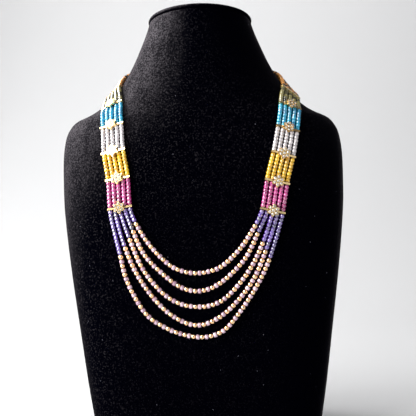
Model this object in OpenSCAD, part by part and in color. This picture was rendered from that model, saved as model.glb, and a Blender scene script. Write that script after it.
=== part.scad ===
// Necklace of five bead strands on a plain velvet neck bust.
// The front faces -Y, +Z is up and +X is to the right when seen from the front.
// The origin lies under the middle of the bust's foot. All sizes are in millimetres.

/* [Neck bust] */
// Height of the bust below its neck cap
bust_h = 367; // [300:1:420]
// Width across the shoulders
bust_w = 249; // [220:1:280]
// Depth of the chest in front of the neck's middle line
chest_d = 72; // [64:1:84]
// Depth of the foot behind the neck's middle line
back_d = 56; // [50:1:70]
// Width of the neck at its top
neck_w = 92; // [84:1:98]
// Thickness of the cap on the neck
cap_t = 4; // [3:0.5:8]
// How far the cap's rolled edge stands out over the neck
cap_lip = 0.8; // [0:0.1:2]
// Slope of the neck's top, with its front higher, in degrees
cap_slope = 2.5; // [0:0.5:6]

/* [Beads] */
// Diameter of a round gold bead
gold_d = 4.2; // [3.6:0.05:4.3]
// Diameter of a lilac rondelle bead
lilac_d = 4.1; // [3.4:0.05:4.2]
// Length of a lilac rondelle bead
lilac_l = 2.6; // [2.2:0.05:3]
// Diameter of a fine gem bead
gem_d = 3.85; // [3.4:0.05:4]
// Length of string that a fine gem bead takes
gem_l = 3; // [2.4:0.05:3.6]
// Bore of the beads and of the bars
bore_d = 1; // [0.8:0.05:1.2]
// Diameter of the bead thread
thread_d = 0.6; // [0.4:0.05:0.65]
// Smallest space between two beads of a strand
bead_gap = 0.1; // [0.1:0.01:0.3]
// Space between the thickest beads and the velvet
lay_gap = 0.3; // [0.2:0.05:0.6]

/* [Spacer bars] */
// Distance between two strings where they pass a bar
string_pitch = 4.15; // [4.1:0.05:4.6]
// Length of bar beyond the middle of its last bore
bar_end = 2.1; // [1.5:0.1:3]
// Thickness of a bar along the strings
bar_t = 1.6; // [1:0.1:2.2]
// Height of a bar away from the bust
bar_h = 3; // [2.4:0.1:3.4]
// Distance from one bar to the next along the band
bar_step = 23.6; // [20:0.1:26]
// Space between a bar and the strings that meet it
bar_gap = 0.35; // [0.25:0.05:0.6]

/* [Flowers] */
// Width of a flower over its petal tips
flower_d = 11; // [9:0.1:12]
// Distance from a flower's middle to its petal stones
petal_r = 3.1; // [2.8:0.05:3.4]
// Diameter of a flower's stones
stone_d = 2.4; // [1.8:0.05:2.5]
// Wall of the collar round a stone
collar_w = 0.3; // [0.2:0.05:0.4]
// Thickness of a flower's plate
plate_t = 1; // [0.8:0.1:1.4]
// Height of a collar above the plate
collar_h = 0.6; // [0.4:0.1:0.9]
// Space between a flower's plate and the strings under it
plate_gap = 0.35; // [0.2:0.05:0.6]

/* [Clasp] */
// Length of the clasp along the band
clasp_l = 12; // [8:0.5:16]
// Height of the clasp away from the neck
clasp_h = 4; // [3.8:0.1:5]

/* [Hidden] */

// The bust's level sections from the foot up: height as a share of bust_h, then how far the
// half width, the front and the back have grown from the neck's radius to their named sizes,
// and how square the outline is, where 2 is an ellipse.
BUST = [
    [0.000, 0.650, 0.385, 1.00, 4.20],
    [0.041, 0.673, 0.481, 0.97, 4.20],
    [0.136, 0.739, 0.635, 0.88, 4.10],
    [0.272, 0.820, 0.827, 0.76, 3.90],
    [0.409, 0.907, 0.969, 0.66, 3.50],
    [0.545, 0.980, 0.988, 0.60, 3.05],
    [0.627, 1.000, 0.846, 0.58, 2.75],
    [0.681, 1.000, 0.654, 0.56, 2.60],
    [0.722, 0.980, 0.512, 0.54, 2.32],
    [0.743, 0.943, 0.431, 0.52, 2.20],
    [0.763, 0.864, 0.362, 0.50, 2.10],
    [0.777, 0.720, 0.315, 0.48, 2.08],
    [0.790, 0.619, 0.269, 0.46, 2.07],
    [0.817, 0.471, 0.200, 0.40, 2.03],
    [0.858, 0.312, 0.123, 0.30, 2.00],
    [0.899, 0.199, 0.062, 0.18, 2.00],
    [0.940, 0.110, 0.023, 0.08, 2.00],
    [0.975, 0.041, 0.004, 0.02, 2.00],
    [1.000, 0.000, 0.000, 0.00, 2.00]
];

// Chosen points of the band's middle line on each side: angle round the bust from its front,
// then height. The first four or five lie at bars and the last one lies at the nape.
BAND_LEFT = [
    [-44.5, 202.5], [-47, 226.5], [-51.5, 247.5], [-57, 270.5], [-67, 291],
    [-83.5, 307.5], [-112, 322], [-146, 332], [-180, 335]
];
BAND_RIGHT = [
    [38, 197.5], [42, 222.5], [47, 242], [53.5, 264.5], [64.5, 288.5],
    [79.5, 304.5], [109, 321], [144, 332], [180, 335]
];

// Chosen points of the hanging strands from the inner to the outer one: X, then height.
// Each strand runs from the left to the right.
STRANDS = [
    [[-53.5, 189], [-42.5, 171.5], [-28, 156.5], [-17.5, 151.3], [-7, 149.5],
     [3, 150.7], [14, 155], [28.9, 169.1], [40.2, 185.7]],
    [[-56, 183], [-47.5, 164.5], [-33, 149], [-20, 138.9], [-7, 135.2],
     [5.5, 137.8], [18, 146], [32.5, 161], [42.1, 179.5]],
    [[-59, 177], [-48, 151.5], [-29.5, 130.5], [-9, 122.8], [12.5, 127], [33, 148], [46, 172]],
    [[-63, 171], [-51.5, 145], [-34, 122], [-16, 109.8],
     [-1, 108.5], [17.5, 119], [36.5, 141], [48.3, 165.9]],
    [[-67, 165], [-62, 144], [-48, 118], [-31, 105.5], [-16, 99.8],
     [-3, 98], [9, 100.4], [20, 108.8], [38.5, 134.5], [51, 159]]
];

// Number of purple beads at each end of a strand
PURPLE = [4, 6, 8, 10, 12];

// Colours of the pieces
GOLD = [0.86, 0.65, 0.32];
BEAD_GOLD = [0.90, 0.72, 0.45];
LILAC = [0.80, 0.68, 0.80];
VELVET = [0.06, 0.06, 0.07];

left = -1;
right = 1;
strings = len(STRANDS);
neck_r = neck_w / 2;
rest = max(gold_d, gem_d) / 2 + lay_gap;
bar_l = string_pitch * (strings - 1) + 2 * bar_end;
last_bar = 6;
petal_angles = [30:60:330];
petal_rim = 0.15;
post_w = flower_d / 2;
seat_h = plate_t * 0.6;
clasp_corner = 1.5;
end_gap = bead_gap + 0.05;
tiny = 0.05;
through = 1;
round_fn = 48;
spline_steps = 120;
band_steps = 160;
ring_step = 8;
thread_sides = 6;
loft_step = 13;
fine_loft_step = 6;
fine_from = 0.6;
fine_to = 0.95;
loft_sides = 44;

// Angles of the corners of an eight-sided string or thread, the outward half first
CORNERS = [157.5, 112.5, 67.5, 22.5, -22.5, -67.5, -112.5, -157.5];

// Small helpers
function mix(a, b, t) = a + (b - a) * t;
function unit(v) = v / norm(v);
function total(list) = list * [for (v = list) 1];

// A smooth curve through the points, without the first and the last one of them
function spline(pts, t) =
    let (
        spans = len(pts) - 3,
        u = min(t * spans, spans - 0.000001),
        k = floor(u),
        f = u - k,
        a = pts[k],
        b = pts[k + 1],
        c = pts[k + 2],
        d = pts[k + 3]
    )
    0.5 * (2 * b + (c - a) * f + (2 * a - 5 * b + 4 * c - d) * f * f + (3 * b - a - 3 * c + d) * f * f * f);

// Pairs of running length and index along a line of points
function run_table(pts) =
    [
        for (k = 0, s = 0; k < len(pts); k = k + 1, s = k < len(pts) ? s + norm(pts[k] - pts[k - 1]) : s)
            [s, k]
    ];

// The point at a running length
function point_at(pts, runs, s) =
    let (u = lookup(s, runs), k = min(floor(u), len(pts) - 2))
    mix(pts[k], pts[k + 1], u - k);

// The bust's form
HEIGHTS = [for (row = BUST) row[0] * bust_h];
SECTIONS = [
    for (row = BUST)
        [
            mix(neck_r, bust_w / 2, row[1]),
            mix(neck_r, chest_d, row[2]),
            mix(neck_r, back_d, row[3]),
            row[4]
        ]
];
last_row = len(BUST) - 1;

function row_slope(k) =
    let (low = max(k - 1, 0), high = min(k + 1, last_row))
    (SECTIONS[high] - SECTIONS[low]) / (HEIGHTS[high] - HEIGHTS[low]);

// Half width, front, back and squareness at a height
function section(z) =
    let (
        level = min(max(z, 0), bust_h),
        k = min(floor(lookup(level, [for (i = [0:last_row]) [HEIGHTS[i], i]])), last_row - 1),
        h = HEIGHTS[k + 1] - HEIGHTS[k],
        t = (level - HEIGHTS[k]) / h
    )
    SECTIONS[k] * (2 * pow(t, 3) - 3 * t * t + 1)
        + row_slope(k) * h * (pow(t, 3) - 2 * t * t + t)
        + SECTIONS[k + 1] * (3 * t * t - 2 * pow(t, 3))
        + row_slope(k + 1) * h * (pow(t, 3) - t * t);

// Below zero inside the bust, zero on its surface and above zero outside
function form(p) =
    let (s = section(p.z), depth = p.y < 0 ? s[1] : s[2])
    pow(abs(p.x) / s[0], s[3]) + pow(abs(p.y) / depth, s[3]) - 1;

function form_slope(p) =
    [for (e = [[tiny, 0, 0], [0, tiny, 0], [0, 0, tiny]]) (form(p + e) - form(p - e)) / (2 * tiny)];

// Distance of a near point above the velvet
function above(p) = form(p) / norm(form_slope(p));

// A point moved along a direction until it lies at the beads' height above the velvet
function settle(p, dir) =
    let (q = p + dir * (rest - above(p)))
    q + dir * (rest - above(q));

// The point of the surface at an angle round the bust and a height
function on_bust(spot) =
    let (
        s = section(spot[1]),
        side = sin(spot[0]),
        front = cos(spot[0]),
        depth = front > 0 ? s[1] : s[2],
        r = pow(pow(abs(side) / s[0], s[3]) + pow(abs(front) / depth, s[3]), -1 / s[3])
    )
    [r * side, -r * front, spot[1]];

// The bead line's point in front of a place given as X and height
function laid(spot) =
    let (
        s = section(spot[1]),
        p = [spot[0], -s[1] * pow(1 - pow(abs(spot[0]) / s[0], s[3]), 1 / s[3]), spot[1]]
    )
    settle(p, unit(form_slope(p)));

// The chosen points of the band on the surface, with one more point before and behind them
function band_points(side) =
    let (
        chosen = side == left ? BAND_LEFT : BAND_RIGHT,
        n = len(chosen),
        before = 2 * chosen[0] - chosen[1],
        beyond = [2 * chosen[n - 1][0] - chosen[n - 2][0], chosen[n - 2][1]],
        spots = concat([before], chosen, [beyond])
    )
    [for (spot = spots) on_bust(spot)];

LEFT_POINTS = band_points(left);
RIGHT_POINTS = band_points(right);

// The band's middle line from its first bar to the nape, and the outward directions along it
function band_line(pts) = [for (k = [0:band_steps]) spline(pts, k / band_steps)];
function band_ups(pts) =
    let (ups = [for (p = pts) unit(form_slope(p))])
    [for (k = [0:band_steps]) spline(ups, k / band_steps)];

LEFT_LINE = band_line(LEFT_POINTS);
RIGHT_LINE = band_line(RIGHT_POINTS);
LEFT_UPS = band_ups(LEFT_POINTS);
RIGHT_UPS = band_ups(RIGHT_POINTS);
LEFT_RUNS = run_table(LEFT_LINE);
RIGHT_RUNS = run_table(RIGHT_LINE);

function runs_of(side) = side == left ? LEFT_RUNS : RIGHT_RUNS;
function band_l(side) = runs_of(side)[band_steps][0];
function band_point(side, s) = point_at(side == left ? LEFT_LINE : RIGHT_LINE, runs_of(side), s);
function band_up(side, s) = point_at(side == left ? LEFT_UPS : RIGHT_UPS, runs_of(side), s);

// Place on the band: its middle point, then the directions across, along and outward
function band_frame(side, s) =
    let (
        reach = bar_t / 2,
        ahead = band_point(side, min(s + reach, band_l(side))),
        behind = band_point(side, max(s - reach, 0)),
        along = unit(ahead - behind),
        up = band_up(side, s),
        outward = unit(up - along * (up * along))
    )
    [band_point(side, s), cross(along, outward), along, outward];

// Distance across the band of the place k, where the places count from 0 to 4 along the frame's X
function place_x(k) = (k - (strings - 1) / 2) * string_pitch;

// The place of a string, with string 1 on the inner side of the band
function place(side, i) = side == left ? strings - i : i - 1;

// Heights of the strings over the band's middle point, in the order of their places
function string_heights(frame) =
    [
        for (k = [0:strings - 1])
            let (q = frame[0] + frame[1] * place_x(k) + frame[3] * rest)
            (settle(q, frame[3]) - frame[0]) * frame[3]
    ];

// A station is a frame with the heights of its strings
function station(frame) = [frame, string_heights(frame)];
function moved(at, y) = [concat([at[0][0] + at[0][2] * y], [for (k = [1:3]) at[0][k]]), at[1]];
function turned(at) =
    [[at[0][0], -at[0][1], -at[0][2], at[0][3]], [for (k = [strings - 1:-1:0]) at[1][k]]];

function in_frame(frame, v) = frame[0] + frame[1] * v.x + frame[2] * v.y + frame[3] * v.z;

// Where the bars lie along the band, and the clasp at its end
function bar_s(k) = (k - 1) * bar_step;
function bar_station(side, k) = station(band_frame(side, bar_s(k)));
CLASP_STATION = station(band_frame(left, band_l(left)));

// Placing of a piece in a frame of the band
module in_band(frame) {
    multmatrix([
        [frame[1].x, frame[2].x, frame[3].x, frame[0].x],
        [frame[1].y, frame[2].y, frame[3].y, frame[0].y],
        [frame[1].z, frame[2].z, frame[3].z, frame[0].z],
        [0, 0, 0, 1]
    ])
    children();
}

// A closed skin over rings that each have the same number of points
module skin(rings) {
    sides = len(rings[0]);
    count = len(rings);
    polyhedron(
        points = [for (ring = rings) each ring],
        faces = concat(
            [[for (i = [0:sides - 1]) i]],
            [[for (i = [sides - 1:-1:0]) (count - 1) * sides + i]],
            [
                for (k = [0:count - 2])
                    for (i = [0:sides - 1])
                        let (a = k * sides + i, b = k * sides + (i + 1) % sides)
                        each [[a, a + sides, b], [b, a + sides, b + sides]]
            ]
        ),
        convexity = 6
    );
}

// Neck bust
function neck_lean(z) = pow(max(0, (z / bust_h - 0.9) / 0.1), 2) * tan(cap_slope);

function bust_ring(z) =
    let (s = section(z))
    [
        for (i = [0:loft_sides - 1])
            let (
                t = 360 * i / loft_sides,
                x = s[0] * sign(sin(t)) * pow(abs(sin(t)), 2 / s[3]),
                depth = cos(t) > 0 ? s[1] : s[2],
                y = -depth * sign(cos(t)) * pow(abs(cos(t)), 2 / s[3])
            )
            [x, y, z - y * neck_lean(z)]
    ];

function loft_levels() =
    concat(
        [
            for (k = [0:last_row - 1])
                let (
                    h = HEIGHTS[k + 1] - HEIGHTS[k],
                    fine = BUST[k][0] > fine_from && BUST[k][0] < fine_to,
                    n = ceil(h / (fine ? fine_loft_step : loft_step))
                )
                for (j = [0:n - 1]) HEIGHTS[k] + h * j / n
        ],
        [bust_h]
    );

module bust_body() {
    color(VELVET)
    skin([for (z = loft_levels()) bust_ring(z)]);
}

module neck_cap() {
    edge = cap_t / 2;
    color(VELVET)
    translate([0, 0, bust_h])
    rotate([-cap_slope, 0, 0])
    translate([0, 0, lay_gap + edge])
    rotate_extrude($fn = 96) {
        translate([0, -edge]) square([neck_r + cap_lip - edge, cap_t]);
        translate([neck_r + cap_lip - edge, 0]) circle(r = edge, $fn = round_fn);
    }
}

// Hanging strands
function strand_end(side, i) =
    let (bar = bar_station(side, 1), k = place(side, i))
    in_frame(bar[0], [place_x(k), -bar_t / 2 - bar_gap, bar[1][k]]);

function flat(p) = [p.x, p.z];

function strand_line(i) =
    let (
        a = strand_end(left, i),
        b = strand_end(right, i),
        lead = 15,
        before = flat(a + band_frame(left, 0)[2] * lead),
        after = flat(b + band_frame(right, 0)[2] * lead),
        chosen = concat([before, flat(a)], STRANDS[i - 1], [flat(b), after])
    )
    concat(
        [a],
        [for (k = [1:spline_steps - 1]) laid(spline(chosen, k / spline_steps))],
        [b]
    );

function purple_l(i) = PURPLE[i - 1] * gem_l;

// Running lengths of the joints between the gold and lilac beads of a strand
function bead_joints(i, length) =
    let (
        stretch = length - 2 * (purple_l(i) + end_gap),
        golds = floor((stretch + lilac_l) / (gold_d + lilac_l + 2 * bead_gap)),
        beads = 2 * golds - 1,
        gap = (stretch - golds * gold_d - (golds - 1) * lilac_l) / beads,
        pair = gold_d + lilac_l + 2 * gap
    )
    [
        for (k = [0:beads])
            purple_l(i) + end_gap + floor(k / 2) * pair + (k % 2) * (gold_d + gap)
    ];

function joint_points(i) =
    let (line = strand_line(i), runs = run_table(line))
    [for (s = bead_joints(i, runs[len(line) - 1][0])) point_at(line, runs, s)];

// Turns a piece that is made along Z so that it lies along the line between two points
module strung(a, b) {
    d = b - a;
    translate((a + b) / 2)
    rotate([0, acos(d.z / norm(d)), atan2(d.y, d.x)])
    children();
}

module gold_bead() {
    difference() {
        sphere(d = gold_d, $fn = round_fn);
        cylinder(d = bore_d, h = gold_d + through, center = true, $fn = round_fn);
    }
}

module lilac_bead() {
    r = lilac_d / 2;
    face_r = r * 0.64;
    belt = lilac_l * 0.12;
    rotate_extrude($fn = round_fn)
    polygon([
        [bore_d / 2, -lilac_l / 2], [face_r, -lilac_l / 2], [r, -belt],
        [r, belt], [face_r, lilac_l / 2], [bore_d / 2, lilac_l / 2]
    ]);
}

module gold_beads(i) {
    joints = joint_points(i);
    color(BEAD_GOLD)
    for (k = [0:2:len(joints) - 2]) strung(joints[k], joints[k + 1]) gold_bead();
}

module lilac_beads(i) {
    joints = joint_points(i);
    color(LILAC)
    for (k = [1:2:len(joints) - 3]) strung(joints[k], joints[k + 1]) lilac_bead();
}

// Rings for a round tube along points
function tube_rings(pts, r, sides) =
    let (n = len(pts))
    [
        for (k = [0:n - 1])
            let (
                along = unit(pts[min(k + 1, n - 1)] - pts[max(k - 1, 0)]),
                across = unit(cross(along, form_slope(pts[k]))),
                outward = cross(across, along)
            )
            [
                for (j = [0:sides - 1])
                    let (a = 360 * j / sides)
                    pts[k] + r * (cos(a) * across + sin(a) * outward)
            ]
    ];

module bead_threads() {
    color(LILAC)
    for (i = [1:strings]) skin(tube_rings(joint_points(i), thread_d / 2, thread_sides));
}

module purple_strings(side) {
    color([0.30, 0.20, 0.62])
    for (i = [1:strings]) {
        line = strand_line(i);
        runs = run_table(line);
        length = runs[len(line) - 1][0];
        n = ceil(purple_l(i) / ring_step) + 1;
        steps = [for (k = [0:n]) purple_l(i) * k / n];
        pts = [for (s = steps) point_at(line, runs, side == left ? s : length - s)];
        skin(tube_rings(pts, gem_d / 2, len(CORNERS)));
    }
}

// Bands of five strings side by side, each string an eight-sided tube that a thin web joins
function lobe(at, k, r, y) =
    [for (a = CORNERS) in_frame(at[0], [place_x(k) + r * cos(a), y, at[1][k] + r * sin(a)])];

function band_ring(at) =
    let (lobes = [for (k = [0:strings - 1]) lobe(at, k, gem_d / 2, 0)])
    concat(
        [for (k = [0:strings - 1]) for (j = [0:3]) lobes[k][j]],
        [for (k = [strings - 1:-1:0]) for (j = [4:7]) lobes[k][j]]
    );

// Index in a band's ring of a lobe's point
function ring_index(k, j) = j < 4 ? 4 * k + j : 4 * strings + 4 * (strings - 1 - k) + j - 4;

// Faces that close a band's end ring and carry its threads. The thread points follow the ring
// points: for each string eight at the foot and eight at the tip.
function thread_faces(ring, first) =
    [
        for (k = [0:strings - 1]) each
            let (foot = first + 16 * k, tip = foot + 8)
            concat(
                [
                    for (j = [0:7])
                        let (n = (j + 1) % 8)
                        each [
                            [ring + ring_index(k, j), ring + ring_index(k, n), foot + j],
                            [foot + j, ring + ring_index(k, n), foot + n],
                            [foot + j, foot + n, tip + j],
                            [tip + j, foot + n, tip + n]
                        ]
                ],
                [[for (j = [0:7]) tip + j]]
            ),
        for (k = [0:strings - 2])
            [
                ring + ring_index(k, 3), ring + ring_index(k + 1, 0),
                ring + ring_index(k + 1, 7), ring + ring_index(k, 4)
            ]
    ];

function flipped(faces) = [for (f = faces) [for (i = [len(f) - 1:-1:0]) f[i]]];

// The strings from bar k to a last station that lies end_s along the band, with threads that
// fill the bores of bar k and, where the clasp follows, its bores too
module band(side, k, end_s, last, end_thread = 0) {
    start_s = bar_s(k) + bar_t / 2 + bar_gap;
    n = ceil((end_s - start_s) / ring_step);
    stations = concat(
        [moved(bar_station(side, k), bar_t / 2 + bar_gap)],
        [for (j = [1:n - 1]) station(band_frame(side, mix(start_s, end_s, j / n)))],
        [last]
    );
    rings = [for (at = stations) band_ring(at)];
    sides = len(rings[0]);
    threads = 2 * len(CORNERS) * strings;
    start_threads = [
        for (j = [0:strings - 1]) for (y = [0, -bar_t - bar_gap]) each lobe(stations[0], j, thread_d / 2, y)
    ];
    end_threads = [
        for (j = [0:strings - 1]) for (y = [0, end_thread]) each lobe(last, j, thread_d / 2, y)
    ];
    first = (n + 1) * sides;
    polyhedron(
        points = concat([for (ring = rings) each ring], start_threads, end_thread > 0 ? end_threads : []),
        faces = concat(
            thread_faces(0, first),
            end_thread > 0
                ? flipped(thread_faces(n * sides, first + threads))
                : [[for (i = [sides - 1:-1:0]) n * sides + i]],
            [
                for (j = [0:n - 1])
                    for (i = [0:sides - 1])
                        let (a = j * sides + i, b = j * sides + (i + 1) % sides)
                        each [[a, a + sides, b], [b, a + sides, b + sides]]
            ]
        ),
        convexity = 8
    );
}

module band_to_bar(side, k) {
    reach = bar_t / 2 + bar_gap;
    band(side, k, bar_s(k + 1) - reach, moved(bar_station(side, k + 1), -reach));
}

module pink_strings(side) {
    color([0.85, 0.25, 0.52]) band_to_bar(side, 1);
}

module yellow_strings(side) {
    color([0.93, 0.72, 0.05]) band_to_bar(side, 2);
}

module white_strings(side) {
    color([0.92, 0.92, 0.93]) band_to_bar(side, 3);
}

module turquoise_strings(side) {
    color([0.05, 0.60, 0.80]) band_to_bar(side, 4);
}

module olive_strings(side) {
    color([0.38, 0.36, 0.18]) band_to_bar(side, 5);
}

module amber_strings(side) {
    reach = clasp_l / 2 + bar_gap;
    nape = side == left ? CLASP_STATION : turned(CLASP_STATION);
    color([0.75, 0.42, 0.15])
    band(side, last_bar, band_l(side) - reach, moved(nape, -reach), bar_t);
}

// Bores along Y at the places of the strings
module string_bores(heights, middle, length) {
    for (k = [0:strings - 1])
        translate([place_x(k), 0, heights[k] - middle])
        rotate([90, 0, 0])
        cylinder(d = bore_d, h = length, center = true, $fn = round_fn);
}

module drilled_bar(heights, middle) {
    difference() {
        cube([bar_l, bar_t, bar_h], center = true);
        string_bores(heights, middle, bar_t + through);
    }
}

// Six pointed petals, each widest beside its stone
module petal_plate() {
    tip = flower_d / 2;
    wide_x = petal_r * 0.72;
    wide = stone_d / 2 + collar_w + petal_rim;
    bend_x = petal_r + stone_d / 3;
    bend = wide * 0.86;
    linear_extrude(plate_t)
    for (a = petal_angles)
        rotate(a)
        polygon([[0, 0], [wide_x, -wide], [bend_x, -bend], [tip, 0], [bend_x, bend], [wide_x, wide]]);
}

module stone_places() {
    children();
    for (a = petal_angles) rotate(a) translate([petal_r, 0, 0]) children();
}

module flower() {
    difference() {
        union() {
            petal_plate();
            stone_places() cylinder(d = stone_d + 2 * collar_w, h = plate_t + collar_h, $fn = round_fn);
        }
        stone_places()
        translate([0, 0, seat_h])
        cylinder(d = stone_d, h = plate_t + collar_h, $fn = round_fn);
    }
}

// A bar with a post over its middle that carries a flower above the strings
module spacer(side, k) {
    bar = bar_station(side, k);
    middle = total(bar[1]) / strings;
    plate_z = max(bar[1]) - middle + gem_d / 2 + plate_gap;
    color(GOLD)
    in_band(bar[0])
    translate([0, 0, middle]) {
        drilled_bar(bar[1], middle);
        translate([-post_w / 2, -bar_t / 2, bar_h / 2 - tiny])
        cube([post_w, bar_t, plate_z - bar_h / 2 + 2 * tiny]);
        translate([0, 0, plate_z]) flower();
    }
}

module plain_bar(side) {
    bar = bar_station(side, last_bar);
    middle = total(bar[1]) / strings;
    color(GOLD)
    in_band(bar[0])
    translate([0, 0, middle])
    drilled_bar(bar[1], middle);
}

// A box with rounded corners over the nape, with a short bore for each thread that enters it
module clasp() {
    heights = CLASP_STATION[1];
    middle = total(heights) / strings;
    raised = (clasp_h - bar_h) / 2;
    straight = [bar_l - 2 * clasp_corner, clasp_l - 2 * clasp_corner];
    color(GOLD)
    in_band(CLASP_STATION[0])
    translate([0, 0, middle + raised])
    difference() {
        union() {
            cube([straight.x, clasp_l, clasp_h], center = true);
            cube([bar_l, straight.y, clasp_h], center = true);
            for (x = [-straight.x / 2, straight.x / 2])
                for (y = [-straight.y / 2, straight.y / 2])
                    translate([x, y, 0])
                    cylinder(r = clasp_corner, h = clasp_h, center = true, $fn = round_fn);
        }
        for (y = [-clasp_l / 2, clasp_l / 2])
            translate([0, y, 0])
            string_bores(heights, middle + raised, 2 * bar_t);
    }
}

bust_body();
neck_cap();
gold_beads(1);  // gold_beads_1
gold_beads(2);  // gold_beads_2
gold_beads(3);  // gold_beads_3
gold_beads(4);  // gold_beads_4
gold_beads(5);  // gold_beads_5
lilac_beads(1);  // lilac_beads_1
lilac_beads(2);  // lilac_beads_2
lilac_beads(3);  // lilac_beads_3
lilac_beads(4);  // lilac_beads_4
lilac_beads(5);  // lilac_beads_5
bead_threads();
purple_strings(left);  // purple_strings_left
purple_strings(right);  // purple_strings_right
pink_strings(left);  // pink_strings_left
pink_strings(right);  // pink_strings_right
yellow_strings(left);  // yellow_strings_left
yellow_strings(right);  // yellow_strings_right
white_strings(left);  // white_strings_left
white_strings(right);  // white_strings_right
turquoise_strings(left);  // turquoise_strings_left
turquoise_strings(right);  // turquoise_strings_right
olive_strings(left);  // olive_strings_left
olive_strings(right);  // olive_strings_right
amber_strings(left);  // amber_strings_left
amber_strings(right);  // amber_strings_right
spacer(left, 1);  // spacer_left_1
spacer(left, 2);  // spacer_left_2
spacer(left, 3);  // spacer_left_3
spacer(left, 4);  // spacer_left_4
spacer(left, 5);  // spacer_left_5
spacer(right, 1);  // spacer_right_1
spacer(right, 2);  // spacer_right_2
spacer(right, 3);  // spacer_right_3
spacer(right, 4);  // spacer_right_4
spacer(right, 5);  // spacer_right_5
plain_bar(left);  // plain_bar_left
plain_bar(right);  // plain_bar_right
clasp();
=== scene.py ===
"""Looks of a multi strand necklace on a velvet neck bust.

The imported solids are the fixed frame. The tables and formulas below repeat the part's own route of
the bands and strands, in millimetres, so that each bead lies where its solid or its tube lies. The
front faces -Y, +Z is up and +X is to the right when seen from the front.
"""

from __future__ import annotations

import logging
import math
from dataclasses import dataclass
from enum import Enum
from functools import cached_property
from typing import Any, NamedTuple, Sequence

import bpy
import numpy as np
from mathutils import Matrix, Vector


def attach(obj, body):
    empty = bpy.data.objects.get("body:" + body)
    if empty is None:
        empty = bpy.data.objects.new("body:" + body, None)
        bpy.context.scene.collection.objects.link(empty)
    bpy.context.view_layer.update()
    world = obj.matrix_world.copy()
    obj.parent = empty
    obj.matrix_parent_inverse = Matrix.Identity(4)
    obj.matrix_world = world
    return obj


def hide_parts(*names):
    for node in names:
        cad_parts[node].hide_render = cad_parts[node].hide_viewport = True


log = logging.getLogger("necklace")

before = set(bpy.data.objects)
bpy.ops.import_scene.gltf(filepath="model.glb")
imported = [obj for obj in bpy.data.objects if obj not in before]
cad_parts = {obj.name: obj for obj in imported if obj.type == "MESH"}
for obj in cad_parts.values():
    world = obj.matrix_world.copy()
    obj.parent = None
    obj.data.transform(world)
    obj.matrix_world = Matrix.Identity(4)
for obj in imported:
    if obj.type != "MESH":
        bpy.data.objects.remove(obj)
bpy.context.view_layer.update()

MM = 0.001
STRINGS = 5
LAST_BAR = 6

# Smooth faces that meet at a wider angle than this keep a sharp edge.
SHARP_ANGLE = math.radians(40)

# The attribute that holds the tone of each bead and stone
TONE = "tone"

# The thread's paint number in a piece of beads on their thread
THREAD_PAINT = 1

# Numbers of the Mix node's colour sockets, which share their names with its other kinds
MIX_FACTOR = 0
MIX_LOW = 6
MIX_HIGH = 7
MIX_COLOUR = 2

# A direction that no level string follows, one that no upright string follows, and how much of a
# string's direction is upward where it counts as upright
LEVEL_GUIDE = (0.3, 0.2, 1.0)
UPRIGHT_GUIDE = (1.0, 0.2, 0.0)
UPRIGHT_FROM = 0.9

Points = np.ndarray
Faces = list[tuple[int, ...]]
Shape = tuple[Points, Faces]
Span = tuple[float, float]
Triple = tuple[float, float, float]
Colour = Triple

# The bust's level sections: height as a share of the bust's height, then how far the half width,
# the front and the back have grown from the neck's radius, and how square the outline is.
BUST_LEVELS = np.array(
    [
        (0.000, 0.650, 0.385, 1.00, 4.20),
        (0.041, 0.673, 0.481, 0.97, 4.20),
        (0.136, 0.739, 0.635, 0.88, 4.10),
        (0.272, 0.820, 0.827, 0.76, 3.90),
        (0.409, 0.907, 0.969, 0.66, 3.50),
        (0.545, 0.980, 0.988, 0.60, 3.05),
        (0.627, 1.000, 0.846, 0.58, 2.75),
        (0.681, 1.000, 0.654, 0.56, 2.60),
        (0.722, 0.980, 0.512, 0.54, 2.32),
        (0.743, 0.943, 0.431, 0.52, 2.20),
        (0.763, 0.864, 0.362, 0.50, 2.10),
        (0.777, 0.720, 0.315, 0.48, 2.08),
        (0.790, 0.619, 0.269, 0.46, 2.07),
        (0.817, 0.471, 0.200, 0.40, 2.03),
        (0.858, 0.312, 0.123, 0.30, 2.00),
        (0.899, 0.199, 0.062, 0.18, 2.00),
        (0.940, 0.110, 0.023, 0.08, 2.00),
        (0.975, 0.041, 0.004, 0.02, 2.00),
        (1.000, 0.000, 0.000, 0.00, 2.00),
    ]
)


class Side(Enum):
    """The two halves of the necklace, with the sign of their X."""

    LEFT = -1
    RIGHT = 1

    @property
    def word(self) -> str:
        """The side's name as the nodes have it."""
        return self.name.lower()


class Shading(Enum):
    """How the faces of a mesh take the light."""

    FACETED = 0
    ROUND = 1


class Spill(Enum):
    """Which surfaces a lamp reaches."""

    ALL = 0
    MATT = 1
    SHINY = 2


# Chosen points of the bands' middle lines: angle round the bust from its front, then height.
BAND_SPOTS = {
    Side.LEFT: (
        (-44.5, 202.5), (-47, 226.5), (-51.5, 247.5), (-57, 270.5), (-67, 291),
        (-83.5, 307.5), (-112, 322), (-146, 332), (-180, 335),
    ),
    Side.RIGHT: (
        (38, 197.5), (42, 222.5), (47, 242), (53.5, 264.5), (64.5, 288.5),
        (79.5, 304.5), (109, 321), (144, 332), (180, 335),
    ),
}

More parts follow.
